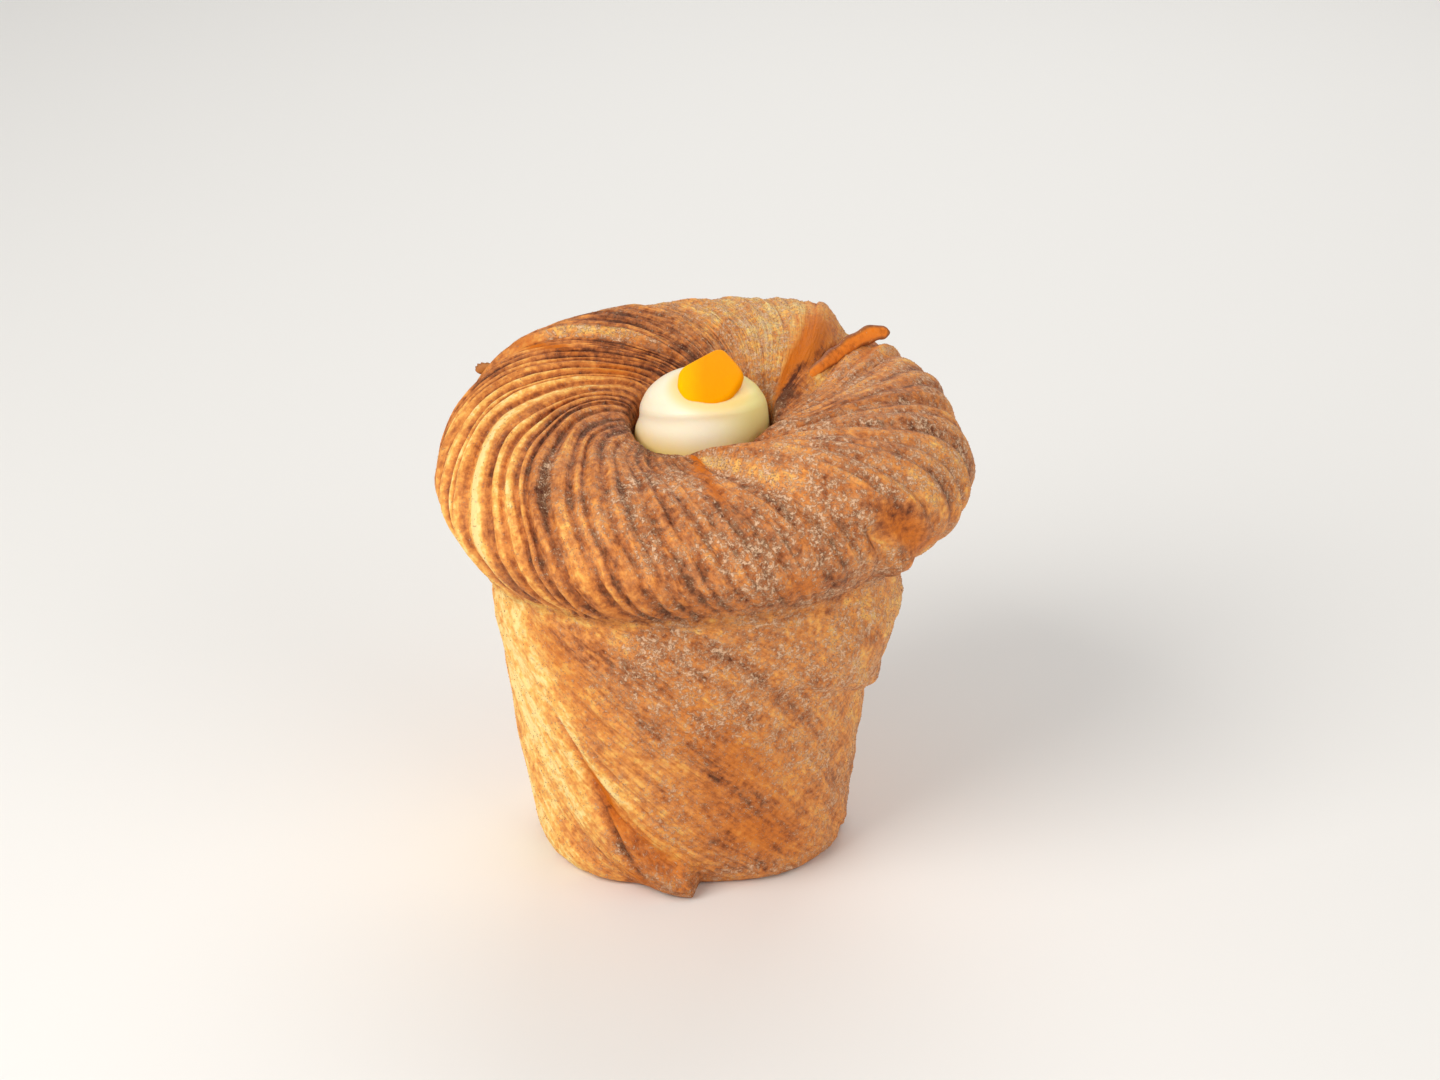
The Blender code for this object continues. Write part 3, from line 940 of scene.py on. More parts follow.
@dataclass(frozen=True)
class FlakeFinish:
    """A thin torn strip of dough: orange inside, browned along its rim."""

    roughness: float = 0.5
    specular: float = 0.25
    inside: Colour = (242, 128, 18)
    rim: Colour = (132, 68, 26)
    bake: float = 0.5
    mottle: float = 0.36
    browning: float = 0.42
    rim_from: Pair = (0.42, 0.88)
    sugar: Colour = (232, 176, 120)
    sugar_amount: float = 0.3
    pore_scale: float = 900.0
    bump_distance: float = 0.00012

    def material(self, effects: SharedEffects) -> bpy.types.Material:
        """Write the material.

        Args:
            effects: The shared shader groups.

        Returns:
            The material.
        """
        surface = SurfaceWriter(
            "torn_dough", Roughness=self.roughness, Specular_IOR_Level=self.specular
        )
        where = surface.where()
        dough = surface.group(
            effects.baked_dough, {"Where": where, "Bake": self.bake, "Mottle": self.mottle}
        )
        dark = surface.product(dough["Tone"], self.browning)
        inside = surface.mix(dark, linear(self.inside), dough["Color"])
        rim = surface.mix(dark, linear(self.rim), dough["Color"])
        edge = surface.climb(surface.attribute("rim"), *self.rim_from)
        sugar = surface.group(effects.sugar_dust, {"Where": where, "Amount": self.sugar_amount})
        colour = surface.mix(edge, inside, rim)
        colour = surface.mix(sugar["Speck"], colour, linear(self.sugar))
        pores = surface.noise(where, self.pore_scale, detail=3.0, seed=4.0)
        surface.set(Base_Color=colour, Normal=surface.bump(pores, self.bump_distance))
        return surface.material


@dataclass(frozen=True)
class SugarFinish:
    """Sugar crystals."""

    colour: Colour = (188, 134, 98)
    shaded: Colour = (156, 102, 68)
    roughness: float = 0.4
    shade_scale: float = 2600.0

    def material(self) -> bpy.types.Material:
        """Write the material: each crystal a little lighter or darker."""
        surface = SurfaceWriter("sugar", Roughness=self.roughness)
        shade = surface.noise(surface.where(), self.shade_scale, detail=0.0, seed=1.0)
        colour = surface.mix(shade, linear(self.colour), linear(self.shaded))
        surface.set(Base_Color=colour)
        return surface.material


@dataclass(frozen=True)
class CreamFinish:
    """Smooth pastry cream: deeper yellow towards its foot and warmer yellow on its right side, both
    painted shade, and a painted orange glow from the fruit.

    Its tones, its painted shade on the right side and its painted glow change over the given spans,
    in metres.
    """

    top: Colour = (250, 238, 210)
    # The top is the lit colour; the foot's deeper yellow is painted shade.
    foot: Colour = (240, 204, 112)
    foot_shade_span: Pair = (0.0685, 0.0735)
    unevenness: float = 0.06
    uneven_scale: float = 160.0
    # Painted shade: the right side's warmer yellow.
    shaded: Colour = (255, 240, 160)
    painted_shade_span: Pair = (0.001, 0.01)
    # Painted orange glow from the fruit, on the cream round it.
    fruit_glow: Colour = (255, 208, 110)
    glow_middle: Triple = (0.0022, -0.0034, 0.0789)
    glow_span: Pair = (0.0076, 0.0052)
    glow_share: float = 0.7
    roughness: float = 0.32
    ripple_scale: float = 420.0
    bump_distance: float = 0.0001

    def material(self) -> bpy.types.Material:
        """Write the material.

        Returns:
            The material.
        """
        surface = SurfaceWriter(
            "cream", Roughness=self.roughness, Subsurface_Weight=0.25, Subsurface_Scale=0.004,
            Subsurface_Radius=(1.0, 0.7, 0.3), Specular_IOR_Level=0.3,
        )
        where = surface.where()
        axes = surface.add("ShaderNodeSeparateXYZ", {0: where}).outputs
        uneven = surface.noise(where, self.uneven_scale, detail=1.0, seed=6.0)
        # Painted shade: deeper yellow towards the foot, with a random unevenness.
        share = surface.math(
            "ADD", surface.climb(axes["Z"], *self.foot_shade_span),
            surface.swing(uneven, self.unevenness), clamp=True,
        )
        # Painted shade: the right side turns a warmer yellow.
        shaded = surface.climb(axes["X"], *self.painted_shade_span)
        top = surface.mix(shaded, linear(self.top), linear(self.shaded))
        # Painted glow: the fruit's orange light on the cream round it.
        away = surface.add(
            "ShaderNodeVectorMath", {0: where, 1: self.glow_middle}, operation="DISTANCE"
        )
        painted_glow = surface.climb(away.outputs["Value"], *self.glow_span)
        painted_glow = surface.product(painted_glow, self.glow_share)
        colour = surface.mix(share, linear(self.foot), top)
        ripple = surface.noise(where, self.ripple_scale, detail=2.0, seed=7.0)
        surface.set(
            Base_Color=surface.mix(painted_glow, colour, linear(self.fruit_glow)),
            Normal=surface.bump(ripple, self.bump_distance),
        )
        return surface.material


@dataclass(frozen=True)
class FruitFinish:
    """Wet flesh of a cut orange fruit."""

    flesh: Colour = (250, 154, 0)
    # Painted light: the left side's lighter yellow, where the light falls.
    light: Colour = (253, 188, 0)
    lit_side_span: Pair = (0.002, -0.003)
    roughness: float = 0.42
    fibre_scale: float = 900.0
    fibre_stretch: Triple = (1.0, 0.2, 0.4)
    fibre_share: float = 0.16
    bump_distance: float = 0.00008

    def material(self) -> bpy.types.Material:
        """Write the material: fine fibres, and lighter towards its left side, painted light where
        the light falls.
        """
        surface = SurfaceWriter(
            "fruit", Roughness=self.roughness, Subsurface_Weight=0.2, Subsurface_Scale=0.003,
            Subsurface_Radius=(1.0, 0.45, 0.1), Specular_IOR_Level=0.03,
        )
        where = surface.where()
        across = surface.add("ShaderNodeSeparateXYZ", {0: where}).outputs["X"]
        along = surface.add("ShaderNodeMapping", {"Vector": where, "Scale": self.fibre_stretch})
        fibre = surface.noise(along.outputs[0], self.fibre_scale, detail=3.0, seed=9.0)
        # Painted light towards the left side, with the fibres' random swing.
        left = surface.math(
            "ADD", surface.climb(across, *self.lit_side_span), surface.swing(fibre, self.fibre_share)
        )
        surface.set(
            Base_Color=surface.mix(left, linear(self.flesh), linear(self.light)),
            Normal=surface.bump(fibre, self.bump_distance),
        )
        return surface.material


@dataclass(frozen=True)
class FloorFinish:
    """The plain pale floor."""

    colour: Colour = (238, 236, 232)
    roughness: float = 0.7

    def material(self) -> bpy.types.Material:
        """Write the material."""
        surface = SurfaceWriter("floor", Roughness=self.roughness)
        surface.shader.inputs["Base Color"].default_value = linear(self.colour)
        return surface.material


# --- Mesh helpers ---


def mesh_object(name: str, points: np.ndarray, faces: Sequence[Sequence[int]]) -> bpy.types.Object:
    """Make a smooth-shaded object.

    Args:
        name: Its name.
        points: Its points, in metres.
        faces: Its faces, as numbers of points.

    Returns:
        The object, linked to the scene.
    """
    mesh = bpy.data.meshes.new(name)
    mesh.from_pydata([tuple(point) for point in points], [], faces)
    mesh.update()
    mesh.shade_smooth()
    made = bpy.data.objects.new(name, mesh)
    bpy.context.scene.collection.objects.link(made)
    return made


def give_attribute(mesh: bpy.types.Mesh, name: str, values: np.ndarray) -> None:
    """Keep one number, or one vector, for each point of a mesh.

    Args:
        mesh: The mesh.
        name: The attribute's name.
        values: The numbers, or vectors in rows.
    """
    vectors = values.ndim == 2
    made = mesh.attributes.new(name, "FLOAT_VECTOR" if vectors else "FLOAT", "POINT")
    made.data.foreach_set("vector" if vectors else "value", values.astype(np.float32).ravel())


def grid_faces(rows: int, columns: int) -> list[tuple[int, ...]]:
    """Four-sided faces of a grid of points that closes on itself along its rows."""
    return [
        (a * columns + b, (a + 1) * columns + b, (a + 1) * columns + c, a * columns + c)
        for a in range(rows - 1)
        for b, c in zip(range(columns), [*range(1, columns), 0])
    ]


def fan_faces(ring: Sequence[int], middle: int) -> list[tuple[int, ...]]:
    """Triangles from a closed ring of points to one point."""
    return [(here, there, middle) for here, there in zip(ring, [*ring[1:], ring[0]])]


def closed_tube(name: str, rings: np.ndarray) -> bpy.types.Object:
    """Make an object from a stack of closed rings, with both its ends closed.

    Args:
        name: Its name.
        rings: Points in mm, one row of them for each ring. The rings go round counter-clockwise,
            seen from before the first one.

    Returns:
        The object, linked to the scene. Its last two points are the ends' middles.
    """
    count, sides = rings.shape[:2]
    ends = np.array([rings[0].mean(axis=0), rings[-1].mean(axis=0)])
    last = (count - 1) * sides
    faces = grid_faces(count, sides) + fan_faces(range(sides), count * sides)
    far_end = fan_faces(range(last, last + sides), count * sides + 1)
    faces += [tuple(reversed(face)) for face in far_end]
    return mesh_object(name, np.vstack((rings.reshape(-1, 3), ends)) * MM, faces)


def through_points(given: Sequence[Sequence[float]], steps: int) -> tuple[np.ndarray, ...]:
    """Draw a smooth open curve through points.

    Args:
        given: The points.
        steps: How many steps are drawn from each to the next.

    Returns:
        The curve's columns, one for each of the points' numbers.
    """
    points = np.array(given)
    padded = np.vstack((2 * points[0] - points[1], points, 2 * points[-1] - points[-2]))
    along = np.linspace(0, len(points) - 1, (len(points) - 1) * steps + 1)
    low = np.minimum(along.astype(int), len(points) - 2)
    return tuple(spline(*(padded[low + k] for k in range(4)), (along - low)[:, None]).T)


def finish_piece(piece: bpy.types.Object, node: str | None = None) -> None:
    """Tell the frame about a piece, and report it.

    Args:
        piece: The finished piece.
        node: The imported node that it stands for.
    """
    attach(piece, BODY)
    if node:
        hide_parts(node)
    triangles = sum(len(face.vertices) - 2 for face in piece.data.polygons)
    LOG.info("%s: %d triangles", piece.name, triangles)


# --- The pastry ---


class Tone(Enum):
    """What a patch on the skin changes."""

    # How baked the dough is, with the painted shade and painted light of some patches and of the
    # well.
    BAKE = "bake"
    ORANGE = "orange"
    SUGAR = "sugar"
    RISE = "rise"
    RIBS = "ribs"


@dataclass(frozen=True)
class Patch:
    """A soft-edged patch on the skin.

    Its middle is at a place on the rings and a lamination line. Its length is in places, its
    width in degrees, and slant is how many degrees it moves over for each place.
    """

    tone: Tone
    place: float
    line: float
    length: float
    width: float
    amount: float
    slant: float = 0.0
    sharpness: float = 1.0

    def weight(self, place: np.ndarray, line: np.ndarray) -> np.ndarray:
        """How much of the patch there is at places and lines."""
        down = (place - self.place) / self.length
        middle = self.line + self.slant * (place - self.place)
        across = away_from(line, middle) / self.width
        return self.amount * np.exp(-((down**2 + across**2) ** self.sharpness))


PATCHES = (
    # The left side's broad golden band, and the pale rim beside it.
    Patch(Tone.BAKE, 8.8, 216.5, 2.6, 3.6, -0.34),
    Patch(Tone.BAKE, 9.4, 200.0, 2.0, 12.0, -0.14),
    Patch(Tone.BAKE, 8.8, 226.0, 2.2, 4.0, -0.14),
    # Dark valleys in front of it, painted shade.
    Patch(Tone.BAKE, 7.4, 240.5, 1.5, 3.4, 0.30),
    Patch(Tone.SUGAR, 7.2, 242.5, 1.3, 2.0, 0.8),
    Patch(Tone.BAKE, 6.4, 236.0, 1.4, 2.4, 0.16),
    # Painted shadow under the crown's lower edge in front, and its orange underside.
    Patch(Tone.BAKE, 11.4, 258.0, 0.9, 20.0, 0.08),
    Patch(Tone.ORANGE, 11.2, 262.0, 0.8, 20.0, 0.35),
    # The fold between the back turn and the right one.
    Patch(Tone.ORANGE, 5.6, 67.0, 1.6, 7.5, 1.2, -3.0),
    Patch(Tone.ORANGE, 4.4, 74.0, 0.8, 4.0, 0.8),
    Patch(Tone.SUGAR, 5.6, 66.0, 1.7, 10.0, -0.9, -3.0),
    Patch(Tone.BAKE, 3.8, 63.0, 0.9, 8.0, 0.6),
    Patch(Tone.BAKE, 5.6, 67.0, 1.5, 5.0, 0.1, -3.0),
    Patch(Tone.SUGAR, 3.7, 67.0, 1.0, 12.0, -0.6),
    Patch(Tone.BAKE, 5.6, 61.0, 1.4, 1.6, 0.4, -5.0),
    Patch(Tone.RISE, 5.4, 61.0, 1.4, 2.2, -0.8, -5.0),
    Patch(Tone.ORANGE, 7.4, 44.0, 0.8, 4.0, 0.4),
    # Where the back turn meets the front one.
    Patch(Tone.ORANGE, 7.1, 164.5, 1.0, 3.0, 1.3, -11.8),
    Patch(Tone.SUGAR, 6.5, 153.6, 1.2, 1.8, 1.6),
    Patch(Tone.BAKE, 6.5, 153.6, 1.3, 1.8, -0.3),
    Patch(Tone.BAKE, 5.9, 163.0, 0.7, 5.0, 0.2, -9.0),
    Patch(Tone.BAKE, 5.9, 178.0, 0.9, 8.0, 0.24),
    Patch(Tone.ORANGE, 4.9, 194.0, 0.6, 7.0, 0.9),
    Patch(Tone.BAKE, 7.0, 141.0, 1.6, 6.0, 0.16, -9.0),
    # The well's lip, higher on the right and in front, and the strand under the cream.
    Patch(Tone.RISE, 3.9, 22.0, 0.8, 15.0, 2.2),
    Patch(Tone.RISE, 3.8, 303.0, 0.8, 11.0, 1.2),
    Patch(Tone.ORANGE, 4.9, 303.0, 1.0, 3.2, 1.5, -8.5),
    Patch(Tone.RISE, 4.9, 303.0, 1.0, 2.6, 0.8, -8.5),
    Patch(Tone.ORANGE, 6.6, 291.0, 0.6, 1.8, 1.0, -3.0),
    # The lapping edge's pale riser, the shade under it, and its ends.
    Patch(Tone.BAKE, 6.1, 310.8, 1.5, 3.6, -0.46),
    Patch(Tone.SUGAR, 6.2, 309.8, 1.6, 3.8, 1.5),
    Patch(Tone.BAKE, 4.9, 313.0, 0.9, 5.0, -0.46),
    Patch(Tone.SUGAR, 4.9, 312.0, 0.9, 5.0, 1.8),
    Patch(Tone.BAKE, 8.3, 305.5, 0.9, 4.5, 0.16),
    Patch(Tone.RISE, 6.6, 311.6, 1.8, 3.2, 0.5),
    Patch(Tone.BAKE, 7.0, 300.6, 1.6, 2.6, 0.12),
    Patch(Tone.RIBS, 9.6, 323.9, 1.3, 5.0, -1.2, 3.6, 2.0),
    Patch(Tone.BAKE, 9.6, 323.9, 1.1, 3.2, 0.02, 3.6, 2.0),
    Patch(Tone.ORANGE, 9.6, 323.9, 1.0, 3.0, 0.74, 3.6, 2.0),
    Patch(Tone.RISE, 9.6, 323.9, 1.0, 2.8, -0.7, 3.6, 2.0),
    Patch(Tone.SUGAR, 9.6, 323.9, 1.3, 4.2, -1.2, 3.6, 2.0),
    Patch(Tone.SUGAR, 10.4, 319.8, 0.6, 2.2, 0.9, 3.0),
    Patch(Tone.BAKE, 9.3, 317.0, 1.2, 1.3, -0.3, 1.5),
    Patch(Tone.BAKE, 8.7, 329.0, 0.9, 2.0, -0.16, 6.0),
    Patch(Tone.ORANGE, 10.5, 331.0, 0.6, 3.0, 0.4),
    Patch(Tone.ORANGE, 10.6, 294.0, 0.7, 7.0, 0.55),
    Patch(Tone.BAKE, 10.2, 303.0, 1.0, 5.0, 0.12),
    # The back's fuller left rim.
    Patch(Tone.RISE, 8.0, 158.0, 1.5, 20.0, 1.0),
    # Where the right turn's rim steps in.
    Patch(Tone.RISE, 10.5, 329.0, 0.9, 8.0, -1.6),
    Patch(Tone.RISE, 8.9, 11.0, 1.4, 6.0, -1.1),
    # The body's fold along the tail, with painted shadow in its crease, and the raised ridges
    # beside it, painted paler as painted highlight.
    Patch(Tone.BAKE, 16.8, 183.4, 1.3, 2.0, 0.6, -5.2),
    Patch(Tone.ORANGE, 16.8, 184.6, 1.2, 1.8, 0.5, -5.2),
    Patch(Tone.RISE, 16.8, 183.2, 1.4, 2.0, -1.1, -5.2),
    Patch(Tone.BAKE, 17.3, 186.0, 0.9, 3.2, 0.16, -2.0),
    # The lower left, painted paler as painted light, where the light falls.
    Patch(Tone.BAKE, 16.8, 171.0, 1.6, 9.0, -0.18),
    Patch(Tone.BAKE, 15.8, 190.5, 0.7, 5.0, -0.16, -3.0),
    Patch(Tone.ORANGE, 18.1, 173.5, 0.7, 4.0, 0.8),
    Patch(Tone.ORANGE, 16.15, 189.4, 0.3, 1.6, 1.2, -5.0),
    Patch(Tone.BAKE, 16.4, 193.6, 1.3, 2.2, -0.18, -1.6),
    Patch(Tone.RISE, 16.4, 193.2, 1.3, 2.4, 0.45, -1.6),
    Patch(Tone.BAKE, 14.9, 199.0, 1.2, 3.0, -0.16, -3.5),
    Patch(Tone.RISE, 14.9, 198.0, 1.2, 2.6, 0.4, -3.5),
    Patch(Tone.BAKE, 18.1, 189.0, 1.0, 6.0, 0.12),
    Patch(Tone.ORANGE, 17.4, 191.0, 1.0, 7.0, 0.45),
    # The waist crease in front, painted paler as painted light against its shade.
    Patch(Tone.BAKE, 13.0, 272.0, 0.7, 40.0, -0.05),
    # Browner patches of the body.
    Patch(Tone.BAKE, 13.9, 226.0, 0.8, 9.0, 0.16, 4.0),
    Patch(Tone.BAKE, 15.5, 236.0, 0.5, 9.0, 0.05),
    Patch(Tone.ORANGE, 15.4, 246.0, 0.8, 14.0, 0.45),
    Patch(Tone.ORANGE, 17.0, 232.0, 0.9, 18.0, 0.6),
    Patch(Tone.BAKE, 16.8, 232.0, 1.0, 20.0, 0.06),
    Patch(Tone.SUGAR, 16.8, 228.0, 1.0, 16.0, -0.25),
    Patch(Tone.ORANGE, 14.2, 214.0, 0.8, 6.0, 0.35, -3.5),
    Patch(Tone.BAKE, 17.4, 222.0, 0.7, 12.0, 0.16),
    Patch(Tone.BAKE, 15.9, 262.0, 0.8, 10.0, -0.10),
    # Sugar that lies thick.
    Patch(Tone.SUGAR, 14.2, 252.0, 0.8, 14.0, 1.0),
    Patch(Tone.BAKE, 14.2, 250.0, 0.8, 12.0, 0.12),
    Patch(Tone.SUGAR, 6.1, 288.0, 0.9, 6.0, 0.6),
    Patch(Tone.SUGAR, 14.6, 300.0, 1.0, 16.0, 0.3),
    Patch(Tone.SUGAR, 18.0, 183.0, 0.9, 6.0, 0.45),
)

CRUST_SEED = 11
CRYSTAL_SEEDS = (21, 22)


@dataclass(frozen=True)
class SkinGrid:
    """The skin's grid: where each point is, and where it stands across its lamination."""

    place: np.ndarray
    line: np.ndarray
    across: np.ndarray
    depth: np.ndarray


@dataclass
class Pastry:
    """The pastry: its laminated skin, its torn flakes and the sugar on them."""

    form: DoughForm
    effects: SharedEffects
    crust: CrustFinish = CrustFinish()
    sugar: SugarFinish = SugarFinish()
    # The grid: columns in degrees for each turn, rows in mm. Laminations narrower than the full
    # width are shallower, and a climb between two turns belongs to no lamination.
    column_widths: Row = (0.62, 0.62, 0.42)
    row_height: float = 0.9
    full_width: float = 6.0
    climb_across: float = 0.5
    climb_depth: float = 0.3
    # Across a lamination: how high it stands, and its painted shade, in its valley and on the flank
    # away from the light.
    rib_profile: tuple[Pair, ...] = (
        (0.0, 0.0), (0.12, 0.32), (0.3, 0.74), (0.44, 0.98), (0.52, 1.0), (0.66, 0.84),
        (0.82, 0.48), (0.93, 0.2), (1.0, 0.0),
    )
    rib_shade: tuple[Pair, ...] = (
        (0.0, 0.8), (0.07, 0.3), (0.2, 0.05), (0.5, 0.0), (0.64, 0.16), (0.78, 0.6),
        (0.9, 1.0), (1.0, 0.85),
    )
    # Places on the rings where the crown gives way to the body, and where the relief fades out
    # by the well and by the foot.
    body_fades: Pair = (CREASE - 1.2, CREASE + 0.4)
    well_fades: Pair = (2.0, 5.0)
    foot_fades: Pair = (FOOT - 1.5, FOOT - 0.5)
    # Round the skin from the right side on, counter-clockwise.
    crown_bake: Row = (.69, .67, .41, .28, .45, .71, .63, .45, .62, .72, .71, .69)
    body_bake: Row = (.50, .52, .50, .46, .44, .38, .2, .18, .46, .54, .54, .50)
    # Painted shade: darker near the well, beside the cream.
    well_shade: float = 0.2
    well_shade_fades: Pair = (3.0, 6.0)
    foot_bake: float = 0.12
    foot_bake_fades: Pair = (18.6, FOOT)
    crown_sugar: Row = (1.0, .9, 1.1, 1.4, .9, .35, .2, .2, .4, .8, 1.0, 1.0)
    body_sugar: Row = (.8, .65, .5, .4, .3, .25, .2, .28, .55, .8, .9, .85)
    crown_ribs: Row = (.4, .4, .3, .1, .2, .8, 1.0, 1.1, 1.0, .4, .15, .25)
    rim_ribs: Row = (1.05, 1.0, .6, .3, .3, .8, 1.0, 1.0, 1.0, .5, .3, .7)
    rim_fades: Pair = (6.8, 9.2)
    crown_lines: Row = (.5, .5, .7, 1.1, 1.3, .9, .6, .55, .6, .6, .5, .45)
    body_ribs: float = 0.14
    body_lines: Row = (.7, .8, .8, .7, .5, .35, .25, .45, .8, .8, .6, .55)
    # Fine strands: their length in mm, and their slide off the laminations in degrees for each
    # ring of the upper and the lower body.
    strand_length: float = 4.5
    strand_slides: Pair = (12.0, 6.0)
    body_coarseness: float = 0.42
    # Heights of the relief in mm. A rib's height goes by how strongly it shows times the first
    # softness, plus the second. A span is what is used of a noise, which seldom reaches further.
    rib_height: float = 0.85
    rib_middle: float = 0.55
    rib_softness: Pair = (0.6, 0.35)
    fine_layer_height: float = 0.24
    fine_layer_scale: float = 0.62
    fine_layer_span: Pair = (0.28, 0.72)
    fold_height: float = 0.4
    fold_scale: float = 0.11
    fold_span: Pair = (0.25, 0.75)
    blister_height: float = 0.16
    blister_scale: float = 240.0
    sink: float = 0.22
    patch_scale: float = 0.2
    patch_span: Pair = (0.3, 0.7)
    dusting_scale: float = 150.0
    dusting_span: Pair = (0.3, 0.7)
    # Sugar crystals: size in mm, its spread about that, and how many on each square mm. Heights
    # in mm part them into pieces.
    crystal_size: float = 0.13
    crystal_spread: Pair = (0.55, 1.2)
    crystal_density: float = 2.9
    foot_height: float = 1.0
    crease_height: float = 52.0
    top_height: float = 100.0

    def columns(self) -> np.ndarray:
        """Lamination lines of the grid's columns.

        Returns:
            Rows of a line in degrees, the place across its lamination, and its depth in mm.
        """
        columns = []
        for (turn, after), apart in zip(self.form.turns_with_next(), self.column_widths):
            span, whole = sum(turn.widths), (after.start - turn.start) % 360
            edge = 0.0
            for width in turn.widths:
                depth = turn.depth[0] + (turn.depth[1] - turn.depth[0]) * edge / span
                depth *= min(width / self.full_width, 1)
                count = round(width / apart)
                for k in range(count):
                    columns.append((turn.start + edge + width * k / count, k / count, depth))
                edge += width
            climb, depth = round((whole - span) / apart), self.climb_depth * depth
            for k in range(climb):
                line = turn.start + span + (whole - span) * k / climb
                columns.append((line, self.climb_across, depth))
        return np.array(columns)

    def rows(self) -> np.ndarray:
        """Places on the rings of the grid's rows, about evenly spaced down the skin."""
        places = []
        for low, (here, there) in enumerate(zip(self.form.rings, self.form.rings[1:])):
            run = np.mean(there.radius) - np.mean(here.radius)
            drop = np.mean(there.height) - np.mean(here.height)
            count = max(1, round(math.hypot(run, drop) / self.row_height))
            places += [low + k / count for k in range(count)]
        return np.array([*places, float(FOOT)])

    def grid(self) -> SkinGrid:
        """The whole grid of the skin."""
        line, across, depth = self.columns().T
        place, line = np.meshgrid(self.rows(), line, indexing="ij")
        across, depth = np.broadcast_to(across, place.shape), np.broadcast_to(depth, place.shape)
        return SkinGrid(place, line, across, depth * self.form.each_ring("relief", place))

    def path_down(self) -> np.ndarray:
        """How far down the skin each of the grid's rows is, in mm."""
        mean = [(np.mean(ring.radius), np.mean(ring.height)) for ring in self.form.rings]
        steps = np.hypot(*np.diff(np.array(mean), axis=0).T)
        return np.interp(self.rows(), range(len(mean)), np.concatenate(([0.0], np.cumsum(steps))))

    def slide(self, place: np.ndarray) -> np.ndarray:
        """How far the body's fine strands have left its laminations, in degrees."""
        upper, lower = self.strand_slides
        middle = CREASE + 2
        by_middle = upper * np.clip(place - CREASE, 0, middle - CREASE)
        return by_middle + lower * np.clip(place - middle, 0, None)

    def below_crown(self, place: np.ndarray) -> np.ndarray:
        """0 on the crown and 1 on the body, with an even climb between them."""
        return smooth(place, *self.body_fades)

    def bulge(self, place: np.ndarray) -> np.ndarray:
        """How much of its relief the skin has: none in the well, nor under the foot."""
        return smooth(place, *self.well_fades) * (1 - smooth(place, *self.foot_fades))

    def rib_strength(self, grid: SkinGrid) -> np.ndarray:
        """How strongly the laminations show as ribs.

        Args:
            grid: The skin's grid.

        Returns:
            The strength, 1 where they show in full.
        """
        round_rim = np.radians(grid.line)
        by_rim, below = smooth(grid.place, *self.rim_fades), self.below_crown(grid.place)
        crown = (1 - by_rim) * around(self.crown_ribs, round_rim)
        crown = crown + by_rim * around(self.rim_ribs, round_rim)
        return self.bulge(grid.place) * ((1 - below) * crown + below * self.body_ribs)

    def tones(self, grid: SkinGrid) -> dict[str, np.ndarray]:
        """How baked, orange and sugared the skin is, and how it rises in mm.

        Args:
            grid: The skin's grid.

        Returns:
            A grid of values for each tone.
        """
        angle = self.form.line_angle(grid.place, grid.line)
        rim = np.radians(grid.line)
        below = self.below_crown(grid.place)
        bake = (1 - below) * around(self.crown_bake, rim) + below * around(self.body_bake, angle)
        sugar = (1 - below) * around(self.crown_sugar, rim) + below * around(self.body_sugar, angle)
        # Painted shade near the well.
        painted_well_shade = self.well_shade * (1 - smooth(grid.place, *self.well_shade_fades))
        by_foot = self.foot_bake * smooth(grid.place, *self.foot_bake_fades)
        tones = {
            Tone.BAKE: bake + painted_well_shade + by_foot,
            Tone.SUGAR: sugar,
            Tone.ORANGE: np.zeros_like(bake),
            Tone.RISE: np.zeros_like(bake),
            Tone.RIBS: self.rib_strength(grid),
        }
        for patch in PATCHES:
            tones[patch.tone] = tones[patch.tone] + patch.weight(grid.place, grid.line)
        tones[Tone.RISE] = tones[Tone.RISE] * self.bulge(grid.place)
        return {tone.value: values for tone, values in tones.items()}

    def bare_skin(self) -> bpy.types.Object:
        """The closed skin before its laminations are raised, with what the trees read on it.

        Returns:
            The object.
        """
        grid = self.grid()
        points, outward = self.form.skin(grid.place, grid.line)
        rows, columns = grid.place.shape
        below = self.below_crown(grid.place)
        bulge = self.bulge(grid.place)
        angle = self.form.line_angle(grid.place, grid.line)
        lines = (1 - below) * around(self.crown_lines, np.radians(grid.line))
        lines = bulge * (lines + below * around(self.body_lines, angle))
        slid = np.radians(grid.line - self.slide(grid.place))
        grain = np.stack((np.cos(slid), np.sin(slid), np.zeros_like(slid)), -1)
        down = self.path_down()[:, None] / self.strand_length
        grain = grain * math.degrees(1) + np.array((0, 0, 1)) * down[..., None]
        grain = grain * (1 - self.body_coarseness * below)[..., None]
        fields = {
            "across": grid.across, "depth": grid.depth, "lines": lines, "bulge": bulge,
            "outward": outward, "grain": grain, **self.tones(grid),
        }
        bare = closed_tube("bare_skin", points)
        for name, values in fields.items():
            flat = values.reshape(rows * columns, *values.shape[2:])
            give_attribute(bare.data, name, np.concatenate((flat, flat[:1], flat[-1:])))
        return bare

